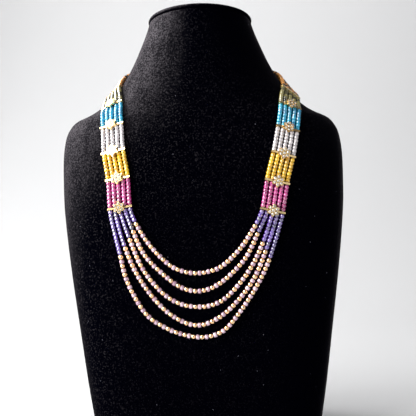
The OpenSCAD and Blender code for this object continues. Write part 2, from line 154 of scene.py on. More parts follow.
# Chosen points of the hanging strands from the inner to the outer one: X, then height.
STRAND_SPOTS = (
    ((-53.5, 189), (-42.5, 171.5), (-28, 156.5), (-17.5, 151.3), (-7, 149.5),
     (3, 150.7), (14, 155), (28.9, 169.1), (40.2, 185.7)),
    ((-56, 183), (-47.5, 164.5), (-33, 149), (-20, 138.9), (-7, 135.2),
     (5.5, 137.8), (18, 146), (32.5, 161), (42.1, 179.5)),
    ((-59, 177), (-48, 151.5), (-29.5, 130.5), (-9, 122.8), (12.5, 127), (33, 148), (46, 172)),
    ((-63, 171), (-51.5, 145), (-34, 122), (-16, 109.8),
     (-1, 108.5), (17.5, 119), (36.5, 141), (48.3, 165.9)),
    ((-67, 165), (-62, 144), (-48, 118), (-31, 105.5), (-16, 99.8),
     (-3, 98), (9, 100.4), (20, 108.8), (38.5, 134.5), (51, 159)),
)

# Number of purple beads at each end of a strand
PURPLE_BEADS = (4, 6, 8, 10, 12)


def unit(vector: Points) -> Points:
    """Brings vectors to length one.

    Args:
        vector: The vector, or vectors.

    Returns:
        The same directions at length one.
    """
    return vector / np.linalg.norm(vector, axis=-1, keepdims=True)


def smooth_curve(spots: Sequence[Any], steps: int) -> Points:
    """Runs a smooth curve through points, without the first and the last of them.

    Args:
        spots: The points, with one more before and one more behind the curve.
        steps: How many steps the curve has.

    Returns:
        The curve's points, one more than it has steps.
    """
    pts = np.array(spots, float)
    spans = len(pts) - 3
    u = np.minimum(np.linspace(0, 1, steps + 1) * spans, spans - 1e-6)
    k = u.astype(int)
    f = (u - k)[:, None]
    a, b, c, d = pts[k], pts[k + 1], pts[k + 2], pts[k + 3]
    bend = (2 * a - 5 * b + 4 * c - d) * f**2 + (3 * b - a - 3 * c + d) * f**3
    return 0.5 * (2 * b + (c - a) * f + bend)


class Route:
    """A line of points that is read by its running length."""

    def __init__(self, points: Points, carried: Points | None = None) -> None:
        """Keeps the line and works out its running lengths.

        Args:
            points: The line's points.
            carried: Other values at the same points, such as outward directions.
        """
        self.points = points
        self.carried = carried
        self.runs = np.concatenate([[0], np.cumsum(np.linalg.norm(np.diff(points, axis=0), axis=1))])

    @property
    def length(self) -> float:
        """The whole length of the line."""
        return float(self.runs[-1])

    def at(self, s: Any) -> Points:
        """Returns the point, or points, at a running length."""
        return np.stack([np.interp(s, self.runs, self.points[:, i]) for i in range(3)], axis=-1)

    def carried_at(self, s: float) -> Points:
        """Returns the carried value at a running length."""
        return np.array([np.interp(s, self.runs, self.carried[:, i]) for i in range(3)])


@dataclass(frozen=True)
class BustForm:
    """The neck bust's outer form, as a field that is zero on the velvet.

    Attributes:
        height: The bust's height without its cap.
        half_width: Half its width across the shoulders.
        chest: How far the chest reaches to the front.
        back: How far the back reaches behind.
        neck_radius: The radius at the top of the neck.
        cap_slope: The cap's tilt in degrees, higher in front.
        lean_from: The share of the height above which the rings lean towards the cap's tilt.
        probe: The step over which the field's slope is measured.
        settle_rounds: How many times points are moved towards their height.
        outline_steps: How finely a ring is drawn before its points are spread evenly.
    """

    height: float = 367.0
    half_width: float = 124.5
    chest: float = 72.0
    back: float = 56.0
    neck_radius: float = 46.0
    cap_slope: float = 2.5
    lean_from: float = 0.9
    probe: float = 0.05
    settle_rounds: int = 2
    outline_steps: int = 1440

    @cached_property
    def heights(self) -> Points:
        """Heights of the level sections."""
        return BUST_LEVELS[:, 0] * self.height

    @cached_property
    def sections(self) -> Points:
        """Half width, front, back and squareness of the level sections."""
        full = np.array([self.half_width, self.chest, self.back])
        grown = self.neck_radius + (full - self.neck_radius) * BUST_LEVELS[:, 1:4]
        return np.column_stack([grown, BUST_LEVELS[:, 4]])

    @cached_property
    def slopes(self) -> Points:
        """How fast the sections change with height at each level."""
        k = np.arange(len(self.heights))
        low, high = np.maximum(k - 1, 0), np.minimum(k + 1, len(k) - 1)
        climb = self.heights[high] - self.heights[low]
        return (self.sections[high] - self.sections[low]) / climb[:, None]

    def section(self, z: Any) -> Points:
        """Reads the level section at any height.

        Args:
            z: The height, or heights.

        Returns:
            Half width, front, back and squareness for each height.
        """
        z = np.clip(np.asarray(z, float), 0, self.height)
        k = np.clip(np.searchsorted(self.heights, z, side="right") - 1, 0, len(self.heights) - 2)
        h = (self.heights[k + 1] - self.heights[k])[..., None]
        t = (z - self.heights[k])[..., None] / h
        return (
            self.sections[k] * (2 * t**3 - 3 * t**2 + 1)
            + self.slopes[k] * h * (t**3 - 2 * t**2 + t)
            + self.sections[k + 1] * (3 * t**2 - 2 * t**3)
            + self.slopes[k + 1] * h * (t**3 - t**2)
        )

    def field_at(self, p: Points) -> Points:
        """Reads the field.

        Args:
            p: The points.

        Returns:
            A value for each point, below zero inside and above zero outside.
        """
        s = self.section(p[..., 2])
        depth = np.where(p[..., 1] < 0, s[..., 1], s[..., 2])
        return np.abs(p[..., 0] / s[..., 0]) ** s[..., 3] + np.abs(p[..., 1] / depth) ** s[..., 3] - 1

    def slope(self, p: Points) -> Points:
        """Measures the field's slope.

        Args:
            p: The points.

        Returns:
            The outward slope at each point.
        """
        steps = np.eye(3) * self.probe
        rise = [(self.field_at(p + e) - self.field_at(p - e)) / (2 * self.probe) for e in steps]
        return np.stack(rise, axis=-1)

    def above(self, p: Points) -> Points:
        """Returns how far the points p lie above the velvet."""
        return self.field_at(p) / np.linalg.norm(self.slope(p), axis=-1)

    def settle(self, p: Points, direction: Points, rest: float) -> Points:
        """Moves points along a direction until they lie at a height above the velvet.

        Args:
            p: The points.
            direction: The direction, or one for each point.
            rest: The height above the velvet.

        Returns:
            The moved points.
        """
        for _ in range(self.settle_rounds):
            p = p + direction * (rest - self.above(p))[..., None]
        return p

    def at_angle(self, angle: float, z: float) -> Points:
        """Finds a point of the surface by its angle.

        Args:
            angle: The angle round the bust from its front, in degrees.
            z: The height.

        Returns:
            The point.
        """
        s = self.section(z)
        side, front = math.sin(math.radians(angle)), math.cos(math.radians(angle))
        depth = s[1] if front > 0 else s[2]
        r = (abs(side / s[0]) ** s[3] + abs(front / depth) ** s[3]) ** (-1 / s[3])
        return np.array([r * side, -r * front, z])

    def in_front(self, x: Points, z: Points) -> Points:
        """Finds points of the surface on the chest.

        Args:
            x: The points' places across.
            z: Their heights.

        Returns:
            The points.
        """
        s = self.section(z)
        y = -s[..., 1] * (1 - np.abs(x / s[..., 0]) ** s[..., 3]) ** (1 / s[..., 3])
        return np.column_stack([x, y, z])

    def ring(self, z: float, count: int, inset: float = 0.0) -> Points:
        """Returns one level ring, with even steps along its outline.

        Args:
            z: The ring's height.
            count: How many points it has.
            inset: How far it lies inside the velvet.

        Returns:
            The ring's points, from the middle of the front.
        """
        half, front, back, square = self.section(z)
        t = np.linspace(0, 2 * math.pi, self.outline_steps + 1)
        sine, cosine = np.sin(t), np.cos(t)
        depth = np.where(cosine > 0, front, back) - inset
        x = (half - inset) * np.sign(sine) * np.abs(sine) ** (2 / square)
        y = -depth * np.sign(cosine) * np.abs(cosine) ** (2 / square)
        runs = np.concatenate([[0], np.cumsum(np.hypot(np.diff(x), np.diff(y)))])
        s = np.linspace(0, runs[-1], count, endpoint=False)
        x, y = np.interp(s, runs, x), np.interp(s, runs, y)
        lean = max(0.0, (z / self.height - self.lean_from) / (1 - self.lean_from)) ** 2
        return np.column_stack([x, y, z - y * lean * math.tan(math.radians(self.cap_slope))])


class Place(NamedTuple):
    """A frame on a band.

    Attributes:
        origin: Its middle point.
        across: The direction across the band.
        along: The direction along the band, towards the nape.
        outward: The direction away from the velvet.
    """

    origin: Points
    across: Points
    along: Points
    outward: Points

    def point(self, x: float, y: float, z: float) -> Points:
        """Returns the point at distances across, along and outward."""
        return self.origin + self.across * x + self.along * y + self.outward * z

    def matrix(self) -> Points:
        """Returns the directions as the columns of a matrix."""
        return np.column_stack([self.across, self.along, self.outward])


class Station(NamedTuple):
    """A frame on a band with the heights of its strings.

    Attributes:
        place: The frame.
        heights: How far each string's middle lies outward from it.
    """

    place: Place
    heights: Points

    def moved(self, y: float) -> Station:
        """Returns this station a little further along the band."""
        return Station(self.place._replace(origin=self.place.origin + self.place.along * y), self.heights)

    def turned(self) -> Station:
        """Returns this station as the other side's band meets it."""
        p = self.place
        return Station(Place(p.origin, -p.across, -p.along, p.outward), self.heights[::-1])

    def string(self, k: int, pitch: float) -> Points:
        """Returns the middle point of the string at the place k."""
        return self.place.point((k - (STRINGS - 1) / 2) * pitch, 0, self.heights[k])


@dataclass(frozen=True)
class Layout:
    """Sizes that the strands, bands, bars and flowers share.

    Attributes:
        bust: The form that everything lies on.
        gold_d: Diameter of the gold beads.
        lilac_d: Diameter of the lilac beads.
        lilac_l: Length of the lilac beads along the strand.
        gem_d: Diameter of the gem beads.
        gem_l: Length of the gem beads along their string.
        bore_d: Diameter of the beads' bores.
        thread_d: Diameter of the threads.
        bead_gap: Least gap between gold and lilac beads.
        end_gap: Gap between the purple beads and the first gold one.
        lay_gap: Gap between the velvet and what lies on it.
        pitch: Distance between the strings of a band.
        bar_t: Thickness of the bars along the band.
        bar_step: Distance from bar to bar along the band.
        bar_gap: Gap between a bar and the strings that meet it.
        plate_gap: Gap between the strings and a flower's plate.
        clasp_l: Length of the clasp.
        lead: How far past a strand's ends the points lie that give it its direction there.
        gem_room: Gap that each gem bead is given when the beads of a string are counted.
        gem_share: How much of its stretch of string a gem bead fills.
        band_steps: Steps of a band's middle line.
        strand_steps: Steps of a hanging strand's route.
    """

    bust: BustForm = BustForm()
    gold_d: float = 4.2
    lilac_d: float = 4.1
    lilac_l: float = 2.6
    gem_d: float = 3.85
    gem_l: float = 3.0
    bore_d: float = 1.0
    thread_d: float = 0.6
    bead_gap: float = 0.1
    end_gap: float = 0.15
    lay_gap: float = 0.3
    pitch: float = 4.15
    bar_t: float = 1.6
    bar_step: float = 23.6
    bar_gap: float = 0.35
    plate_gap: float = 0.35
    clasp_l: float = 12.0
    lead: float = 15.0
    gem_room: float = 0.05
    gem_share: float = 0.975
    band_steps: int = 160
    strand_steps: int = 120

    @property
    def rest(self) -> float:
        """Height of the beads' middle line above the velvet."""
        return max(self.gold_d, self.gem_d) / 2 + self.lay_gap

    @property
    def reach(self) -> float:
        """Distance from a bar's middle to the strings that meet it."""
        return self.bar_t / 2 + self.bar_gap

    @cached_property
    def routes(self) -> dict[Side, Route]:
        """The bands' middle lines, which carry their outward directions."""
        made = {}
        for side, spots in BAND_SPOTS.items():
            chosen = np.array(spots, float)
            before = 2 * chosen[0] - chosen[1]
            beyond = np.array([2 * chosen[-1][0] - chosen[-2][0], chosen[-2][1]])
            pts = np.array([self.bust.at_angle(a, z) for a, z in (before, *chosen, beyond)])
            outward = smooth_curve(unit(self.bust.slope(pts)), self.band_steps)
            made[side] = Route(smooth_curve(pts, self.band_steps), outward)
        return made

    def station(self, side: Side, s: float) -> Station:
        """Works out a band's frame and the heights of its strings.

        Args:
            side: The side of the necklace.
            s: The running length from the middle of the first bar.

        Returns:
            The station.
        """
        route = self.routes[side]
        half = self.bar_t / 2
        along = unit(route.at(min(s + half, route.length)) - route.at(max(s - half, 0)))
        up = route.carried_at(s)
        outward = unit(up - along * (up @ along))
        place = Place(route.at(s), np.cross(along, outward), along, outward)
        k = np.arange(STRINGS) - (STRINGS - 1) / 2
        start = place.origin + np.outer(k * self.pitch, place.across) + outward * self.rest
        settled = self.bust.settle(start, np.tile(outward, (STRINGS, 1)), self.rest)
        return Station(place, (settled - place.origin) @ outward)

    def bar(self, side: Side, number: int) -> Station:
        """Returns the station of a bar, which count from 1."""
        return self.station(side, (number - 1) * self.bar_step)

    @cached_property
    def nape(self) -> Station:
        """The clasp's station, as the left band meets it."""
        return self.station(Side.LEFT, self.routes[Side.LEFT].length)

    def band_strings(self, side: Side, number: int, steps: int = 10) -> list[Route]:
        """Returns the five strings of the band that starts at a bar.

        Args:
            side: The side of the necklace.
            number: The bar that the band starts at. The last band runs to the clasp.
            steps: How many steps each string has for a bar's distance.

        Returns:
            A route for each place across the band.
        """
        start = (number - 1) * self.bar_step + self.reach
        first = self.bar(side, number).moved(self.reach)
        if number < LAST_BAR:
            end = number * self.bar_step - self.reach
            last = self.bar(side, number + 1).moved(-self.reach)
        else:
            back = self.clasp_l / 2 + self.bar_gap
            end = self.routes[side].length - back
            nape = self.nape if side is Side.LEFT else self.nape.turned()
            last = nape.moved(-back)
        count = math.ceil((end - start) / self.bar_step * steps)
        between = [self.station(side, s) for s in np.linspace(start, end, count + 1)[1:-1]]
        stations = [first, *between, last]
        return [Route(np.array([at.string(k, self.pitch) for at in stations])) for k in range(STRINGS)]

    def strand_end(self, side: Side, strand: int) -> Points:
        """Finds the point where a hanging strand meets its first bar.

        Args:
            side: The side of the necklace.
            strand: The strand's number, from the inner one.

        Returns:
            The point.
        """
        bar = self.bar(side, 1)
        k = STRINGS - strand if side is Side.LEFT else strand - 1
        return bar.moved(-self.reach).string(k, self.pitch)

    def strand(self, strand: int) -> Route:
        """Lays a hanging strand on the chest.

        Args:
            strand: The strand's number, from the inner one.

        Returns:
            Its route, from the left to the right.
        """
        ends = [self.strand_end(side, strand) for side in Side]
        leads = [end + self.bar(side, 1).place.along * self.lead for end, side in zip(ends, Side)]
        flat = [(p[0], p[2]) for p in (leads[0], ends[0], ends[1], leads[1])]
        spots = [flat[0], flat[1], *STRAND_SPOTS[strand - 1], flat[2], flat[3]]
        curve = smooth_curve(spots, self.strand_steps)[1:-1]
        on_velvet = self.bust.in_front(curve[:, 0], curve[:, 1])
        laid = self.bust.settle(on_velvet, unit(self.bust.slope(on_velvet)), self.rest)
        return Route(np.vstack([ends[0], laid, ends[1]]))

    def purple_length(self, strand: int) -> float:
        """Returns the length of the purple beads at one end of a strand."""
        return PURPLE_BEADS[strand - 1] * self.gem_l

    def bead_joints(self, strand: int, length: float) -> list[float]:
        """Shares out a strand's gold and lilac beads.

        Args:
            strand: The strand's number, from the inner one.
            length: The strand's whole length.

        Returns:
            The running lengths of the joints between the beads.
        """
        first = self.purple_length(strand) + self.end_gap
        stretch = length - 2 * first
        golds = int((stretch + self.lilac_l) / (self.gold_d + self.lilac_l + 2 * self.bead_gap))
        beads = 2 * golds - 1
        gap = (stretch - golds * self.gold_d - (golds - 1) * self.lilac_l) / beads
        pair = self.gold_d + self.lilac_l + 2 * gap
        return [first + k // 2 * pair + k % 2 * (self.gold_d + gap) for k in range(beads + 1)]


class Socket:
    """A shader value that maths can be written on."""

    def __init__(self, bench: Bench, socket: bpy.types.NodeSocket) -> None:
        """Keeps the socket and the bench that its node stands on."""
        self.bench = bench
        self.socket = socket

    def _math(self, operation: str, *values: Socket | float) -> Socket:
        """Returns a Math node's result for the values."""
        return self.bench.node("ShaderNodeMath", {"operation": operation}, dict(enumerate(values)))

    def __add__(self, other: Socket | float) -> Socket:
        """Returns the sum."""
        return self._math("ADD", self, other)

    def __sub__(self, other: Socket | float) -> Socket:
        """Returns the difference."""
        return self._math("SUBTRACT", self, other)

    def __rsub__(self, other: Socket | float) -> Socket:
        """Returns the difference from a number."""
        return self._math("SUBTRACT", other, self)

    def __mul__(self, other: Socket | float) -> Socket:
        """Returns the product."""
        return self._math("MULTIPLY", self, other)

    def __gt__(self, other: Socket | float) -> Socket:
        """Returns one where this is the greater and zero elsewhere."""
        return self._math("GREATER_THAN", self, other)

    def __lt__(self, other: Socket | float) -> Socket:
        """Returns one where this is the smaller and zero elsewhere."""
        return self._math("LESS_THAN", self, other)

    __radd__ = __add__
    __rmul__ = __mul__


class Bench:
    """Builds one material's nodes around a Principled shader."""

    def __init__(self, name: str) -> None:
        """Starts a material with its shader and output alone.

        Args:
            name: The material's name.
        """
        self.material = bpy.data.materials.new(name)
        self.material.use_nodes = True
        self.tree = self.material.node_tree
        self.tree.nodes.clear()
        self.shader = self.tree.nodes.new("ShaderNodeBsdfPrincipled")
        output = self.tree.nodes.new("ShaderNodeOutputMaterial")
        self.tree.links.new(self.shader.outputs["BSDF"], output.inputs["Surface"])

    def node(self, kind: str, settings: dict[str, Any] | None = None,
             inputs: dict[Any, Any] | None = None, output: Any = 0) -> Socket:
        """Adds a node.

        Args:
            kind: The node's type.
            settings: Its settings. A ramp's stops are given as "stops".
            inputs: Values or sockets for its inputs, by name or number.
            output: The name or number of the output that is wanted.

        Returns:
            The chosen output.
        """
        made = self.tree.nodes.new(kind)
        for key, value in (settings or {}).items():
            if key == "stops":
                self._set_stops(made.color_ramp, value)
            else:
                setattr(made, key, value)
        for key, value in (inputs or {}).items():
            self._feed(made.inputs[key], value)
        return Socket(self, made.outputs[output])

    def _set_stops(self, ramp: bpy.types.ColorRamp, stops: Sequence[tuple[float, Colour]]) -> None:
        """Gives a ramp its stops.

        Args:
            ramp: The ramp.
            stops: A position and a colour for each stop.
        """
        while len(ramp.elements) < len(stops):
            ramp.elements.new(1.0)
        for element, (position, colour) in zip(ramp.elements, stops):
            element.position = position
            element.color = (*colour, 1.0)

    def _feed(self, socket: bpy.types.NodeSocket, value: Any) -> None:
        """Links or sets one input.

        Args:
            socket: The input.
            value: A socket to link, or a number, colour or vector to set.
        """
        if isinstance(value, Socket):
            self.tree.links.new(value.socket, socket)
        elif isinstance(value, tuple) and len(value) == 3 and socket.type == "RGBA":
            socket.default_value = (*value, 1.0)
        else:
            socket.default_value = value

    def place(self) -> Socket:
        """Returns the surface's place in the object, in metres."""
        return self.node("ShaderNodeTexCoord", output="Object")

    def noise(self, size: float, detail: float = 2.0, stretch: Triple = (1, 1, 1)) -> Socket:
        """Returns noise between 0 and 1.

        Args:
            size: The size of its blots in metres.
            detail: How many finer layers it has.
            stretch: How much finer it is along each axis.

        Returns:
            The noise.
        """
        spread = self.node("ShaderNodeMapping", {}, {"Vector": self.place(), "Scale": stretch})
        inputs = {"Vector": spread, "Scale": 1 / size, "Detail": detail}
        return self.node("ShaderNodeTexNoise", {}, inputs, "Fac")

    def blend(self, factor: Socket, low: Socket | Colour, high: Socket | Colour) -> Socket:
        """Returns a colour between two colours."""
        inputs = {MIX_FACTOR: factor, MIX_LOW: low, MIX_HIGH: high}
        return self.node("ShaderNodeMix", {"data_type": "RGBA"}, inputs, MIX_COLOUR)

    def fade(self, value: Socket, span: Span) -> Socket:
        """Returns a smooth step from 0 at the span's first value to 1 at its last."""
        inputs = {"Value": value, "From Min": span[0], "From Max": span[1]}
        return self.node("ShaderNodeMapRange", {"interpolation_type": "SMOOTHSTEP"}, inputs, "Result")

    def dot(self, vector: Socket, direction: Triple) -> Socket:
        """Returns how far a vector points along a direction."""
        inputs = {0: vector, 1: direction}
        return self.node("ShaderNodeVectorMath", {"operation": "DOT_PRODUCT"}, inputs, "Value")

    def tone(self) -> Socket:
        """Returns the tone that each bead or stone carries."""
        return self.node("ShaderNodeAttribute", {"attribute_name": TONE}, output="Fac")

    def bump(self, height: Socket, strength: float, depth: float) -> Socket:
        """Returns a normal that follows a height.

        Args:
            height: The height, between 0 and 1.
            strength: How strongly it shows.
            depth: The depth of a step of one, in metres.

        Returns:
            The normal.
        """
        inputs = {"Strength": strength, "Distance": depth, "Height": height}
        return self.node("ShaderNodeBump", {}, inputs, "Normal")

    def dress(self, **sockets: Any) -> bpy.types.Material:
        """Sets the shader's own sockets.

        Args:
            **sockets: Values or sockets by the shader's names, with _ for a space.

        Returns:
            The material.
        """
        for key, value in sockets.items():
            self._feed(self.shader.inputs[key.replace("_", " ")], value)
        return self.material


@dataclass(frozen=True)
class VelvetFinish:
    """Black velvet with a little lint. Where it faces the window lamps on the left neck and shoulder, and
    on its far right edge, its colour is painted paler as painted sheen.

    Attributes:
        name: The material's name.
        pile: Colour of the nap that lies flat.
        painted_sheen: Colour of the painted sheen where the velvet faces the window lamps.
        lint: Colour of the lint.
        sheen: Colour of the velvet's sheen.
        window: The direction that a surface faces where the velvet has the most painted sheen.
        window_span: Where the painted sheen starts and where it is in full, for a surface's facing.
        climb: How much each metre of height adds to it.
        climb_from: How much is taken off for all heights.
        height_span: Heights in metres between which the painted sheen comes in.
        far_side: The direction of the far edge, where the velvet has painted sheen as well.
        far_span: Where that starts and where it is in full.
        far_share: How strong it is there.
        nap_size: Size of the nap's tufts in metres.
        stroke_size: Size of the brush strokes in metres.
        stroke_stretch: How much finer the strokes are along each axis.
        grain_size: Size of the finest grain in metres.
        detail: Finer layers of the nap and the strokes.
        nap_share: Share of the nap in the speckle. The strokes have the rest.
        speckle_span: Values between which the speckle goes from dark to pale.
        speckle_share: Painted sheen that is speckled.
        even_share: Painted sheen that is even.
        strength: Factor on both.
        stray_span: Values between which single stray tufts show, a real grain of the nap.
        stray_side: How far a surface faces the window where they come in; that makes them partly painted
            light.
        stray_share: How pale they are.
        lint_density: Cells of lint for each metre.
        lint_radius: Radius of a speck of lint as a share of its cell.
        lint_patch: Size in metres of the patches that hold lint.
        lint_limit: The noise above which a patch holds lint.
        relief: Height of the nap in metres.
        relief_strength: How strongly it shows.
        grain_relief: Height of the grain as a share of the nap's.
        stroke_relief: Height of the strokes as a share of the nap's.
    """

    name: str = "black_velvet"
    pile: Colour = (0.0002, 0.0002, 0.0012)
    painted_sheen: Colour = (0.080, 0.073, 0.080)
    lint: Colour = (0.10, 0.10, 0.12)
    sheen: Colour = (0.85, 0.80, 0.85)
    window: Triple = (-0.72, 0.0, 0.69)
    window_span: Span = (0.12, 0.96)
    climb: float = 1.2
    climb_from: float = 0.38
    height_span: Span = (-0.06, 0.36)
    far_side: Triple = (1.0, 0.35, 0.0)
    far_span: Span = (0.60, 1.0)
    far_share: float = 0.6
    nap_size: float = 0.0013
    stroke_size: float = 0.011
    stroke_stretch: Triple = (1, 1, 0.6)
    grain_size: float = 0.0005
    detail: float = 3.0
    nap_share: float = 0.75
    speckle_span: Span = (0.40, 0.62)
    speckle_share: float = 0.78
    even_share: float = 0.14
    strength: float = 1.15
    stray_span: Span = (0.54, 0.70)
    stray_side: Span = (-0.30, 0.40)
    stray_share: float = 0.20
    lint_density: float = 150.0
    lint_radius: float = 0.055
    lint_patch: float = 0.0062
    lint_limit: float = 0.60
    relief: float = 0.0005
    relief_strength: float = 0.55
    grain_relief: float = 0.6
    stroke_relief: float = 0.8

    def painted_sheen_amount(self, b: Bench, facing: Socket, lean: Socket) -> Socket:
        """Finds where the velvet gets painted sheen: higher up where it faces the window, and on its far
        edge.

        Args:
            b: The velvet's bench.
            facing: The surface's direction.
            lean: How far the surface faces the window.

        Returns:
            How much painted sheen it gets, from zero where it has none.
        """
        # Painted sheen: paler where the surface faces the window lamps, more so higher up.
        height = b.node("ShaderNodeSeparateXYZ", {}, {0: b.place()}, "Z")
        lit = b.fade(lean + height * self.climb - self.climb_from, self.window_span)
        near = lit * b.fade(height, self.height_span)
        # The far right edge is painted paler as well: painted sheen.
        far = b.fade(b.dot(facing, self.far_side), self.far_span) * self.far_share
        return near + far

    def lint_mask(self, b: Bench) -> Socket:
        """Finds the rare specks of lint.

        Args:
            b: The velvet's bench.

        Returns:
            One on the lint and zero elsewhere.
        """
        inputs = {"Vector": b.place(), "Scale": self.lint_density}
        fleck = b.node("ShaderNodeTexVoronoi", {}, inputs, "Distance")
        return (fleck < self.lint_radius) * (b.noise(self.lint_patch, detail=0.0) > self.lint_limit)

    def material(self) -> bpy.types.Material:
        """Builds the velvet.

        Returns:
            The material.
        """
        b = Bench(self.name)
        nap = b.noise(self.nap_size, self.detail)
        strokes = b.noise(self.stroke_size, self.detail, self.stroke_stretch)
        grain = b.noise(self.grain_size, detail=1.0)
        facing = b.node("ShaderNodeTexCoord", output="Normal")
        lean = b.dot(facing, self.window)
        speckle = b.fade(nap * self.nap_share + strokes * (1 - self.nap_share), self.speckle_span)
        # Stray tufts: real grain of the nap, painted paler where the surface faces the window, which is
        # painted light.
        stray = b.fade(nap, self.stray_span) * b.fade(lean, self.stray_side) * self.stray_share
        shown = speckle * self.speckle_share + self.even_share
        # Painted sheen: the velvet's colour is made paler where it faces the window lamps and on its far
        # edge.
        pale = self.painted_sheen_amount(b, facing, lean) * shown * self.strength + stray
        colour = b.blend(pale, self.pile, self.painted_sheen)
        height = nap + grain * self.grain_relief + strokes * self.stroke_relief
        normal = b.bump(height, self.relief_strength, self.relief)
        return b.dress(
            Base_Color=b.blend(self.lint_mask(b), colour, self.lint), Roughness=0.95, Normal=normal,
            Sheen_Weight=0.05, Sheen_Roughness=0.30, Sheen_Tint=self.sheen, Specular_IOR_Level=0.0,
        )


@dataclass(frozen=True)
class MetalFinish:
    """Gold plate with fine rubbing marks and warmer low spots.

    Attributes:
        name: The material's name.
        bright: Colour of the rubbed metal.
        warm: Colour of the low spots.
        roughness: The mean roughness.
        cloud_size: Size of the low spots in metres.
        mark_size: Size of the rubbing marks in metres.
        mark_stretch: How much finer the marks are along each axis.
        rub: How much the marks change the roughness.
        relief: Depth of the marks in metres.
        relief_strength: How strongly it shows.
    """

    name: str
    bright: Colour
    warm: Colour
    roughness: float
    cloud_size: float = 0.0016
    mark_size: float = 0.0003
    mark_stretch: Triple = (1, 1, 4)
    rub: float = 0.12
    relief: float = 0.00004
    relief_strength: float = 0.08

    def material(self) -> bpy.types.Material:
        """Builds the metal.

        Returns:
            The material.
        """
        b = Bench(self.name)
        colour = b.blend(b.noise(self.cloud_size), self.bright, self.warm)
        marks = b.noise(self.mark_size, stretch=self.mark_stretch)
        rubbed = marks * self.rub + (self.roughness - self.rub / 2)
        normal = b.bump(marks, self.relief_strength, self.relief)
        return b.dress(Base_Color=colour, Metallic=1.0, Roughness=rubbed, Normal=normal)


@dataclass(frozen=True)
class GemFinish:
    """Cut gem beads, each a little lighter or darker than the next.

    Attributes:
        name: The material's name.
        deep: Colour of the darkest beads.
        light: Colour of the lightest beads.
        spread: How far apart the two colours lie on the scale of shades.
        coat: How strongly the bright coat shows.
        middle: The shade halfway between the two colours.
        tone_share: Share of a bead's own tone in its shade.
        cloud_share: Share of the clouds inside the bead.
        cloud_size: Size of the clouds in metres.
        roughness: The least roughness.
        rub: How much the clouds add to it.
    """

    name: str
    deep: Colour
    light: Colour
    spread: float = 0.64
    coat: float = 1.0
    middle: float = 0.54
    tone_share: float = 0.62
    cloud_share: float = 0.5
    cloud_size: float = 0.0013
    roughness: float = 0.16
    rub: float = 0.1

    def material(self) -> bpy.types.Material:
        """Builds the gem.

        Returns:
            The material.
        """
        b = Bench(self.name)
        cloud = b.noise(self.cloud_size)
        shade = b.tone() * self.tone_share + cloud * self.cloud_share
        half = self.spread / 2
        stops = ((self.middle - half, self.deep), (self.middle + half, self.light))
        colour = b.node("ShaderNodeValToRGB", {"stops": stops}, {"Fac": shade})
        return b.dress(
            Base_Color=colour, Roughness=cloud * self.rub + self.roughness, IOR=2.0,
            Coat_Weight=self.coat, Coat_Roughness=0.05, Coat_IOR=2.1,
        )


@dataclass(frozen=True)
class ThreadFinish:
    """Fine twisted thread.

    Attributes:
        name: The material's name.
        dark: Colour between the twists.
        pale: Colour on the twists.
        twist_size: Size of the twists in metres.
        twist_stretch: How much finer they are along each axis.
        relief: Height of the twists in metres.
        relief_strength: How strongly it shows.
    """

    name: str = "bead_thread"
    dark: Colour = (0.42, 0.36, 0.40)
    pale: Colour = (0.78, 0.72, 0.76)
    twist_size: float = 0.00035
    twist_stretch: Triple = (1, 1, 2)
    relief: float = 0.0001
    relief_strength: float = 0.4

    def material(self) -> bpy.types.Material:
        """Builds the thread.

        Returns:
            The material.
        """
        b = Bench(self.name)
        twist = b.noise(self.twist_size, stretch=self.twist_stretch)
        return b.dress(
            Base_Color=b.blend(twist, self.dark, self.pale), Roughness=0.6,
            Normal=b.bump(twist, self.relief_strength, self.relief), Sheen_Weight=0.2,
        )


@dataclass(frozen=True)
class StoneFinish:
    """Clear cut stones, their colour tinted warm with a painted reflection of the gold under them.

    Attributes:
        name: The material's name.
        grey: Colour of the darkest stones, warm with painted reflection of gold.
        white: Colour of the lightest stones, warm with painted reflection of gold.
        roughness: Roughness of the darkest stones.
        rub: How much rougher the lightest ones are.
    """

    name: str = "clear_stone"
    # The warm tint is painted reflection of the gold beneath the stones; the random tone from stone to
    # stone is their own.
    grey: Colour = (0.66, 0.58, 0.45)
    white: Colour = (1.0, 0.94, 0.82)
    roughness: float = 0.04
    rub: float = 0.03

    def material(self) -> bpy.types.Material:
        """Builds the stones' clear glass.

        Returns:
            The material.
        """
        b = Bench(self.name)
        tone = b.tone()
        return b.dress(
            Base_Color=b.blend(tone, self.grey, self.white), Roughness=tone * self.rub + self.roughness,
            IOR=1.9, Transmission_Weight=0.55, Coat_Weight=1.0, Coat_Roughness=0.02,
        )


@dataclass(frozen=True)
class PaperFinish:
    """The pale paper of the floor and the backdrop.

    Attributes:
        name: The material's name.
        shade: The paper's colour.
    """

    name: str = "pale_paper"
    shade: Colour = (0.62, 0.62, 0.625)

    def material(self) -> bpy.types.Material:
        """Returns the paper's material."""
        b = Bench(self.name)
        return b.dress(Base_Color=self.shade, Roughness=0.9, Specular_IOR_Level=0.1)


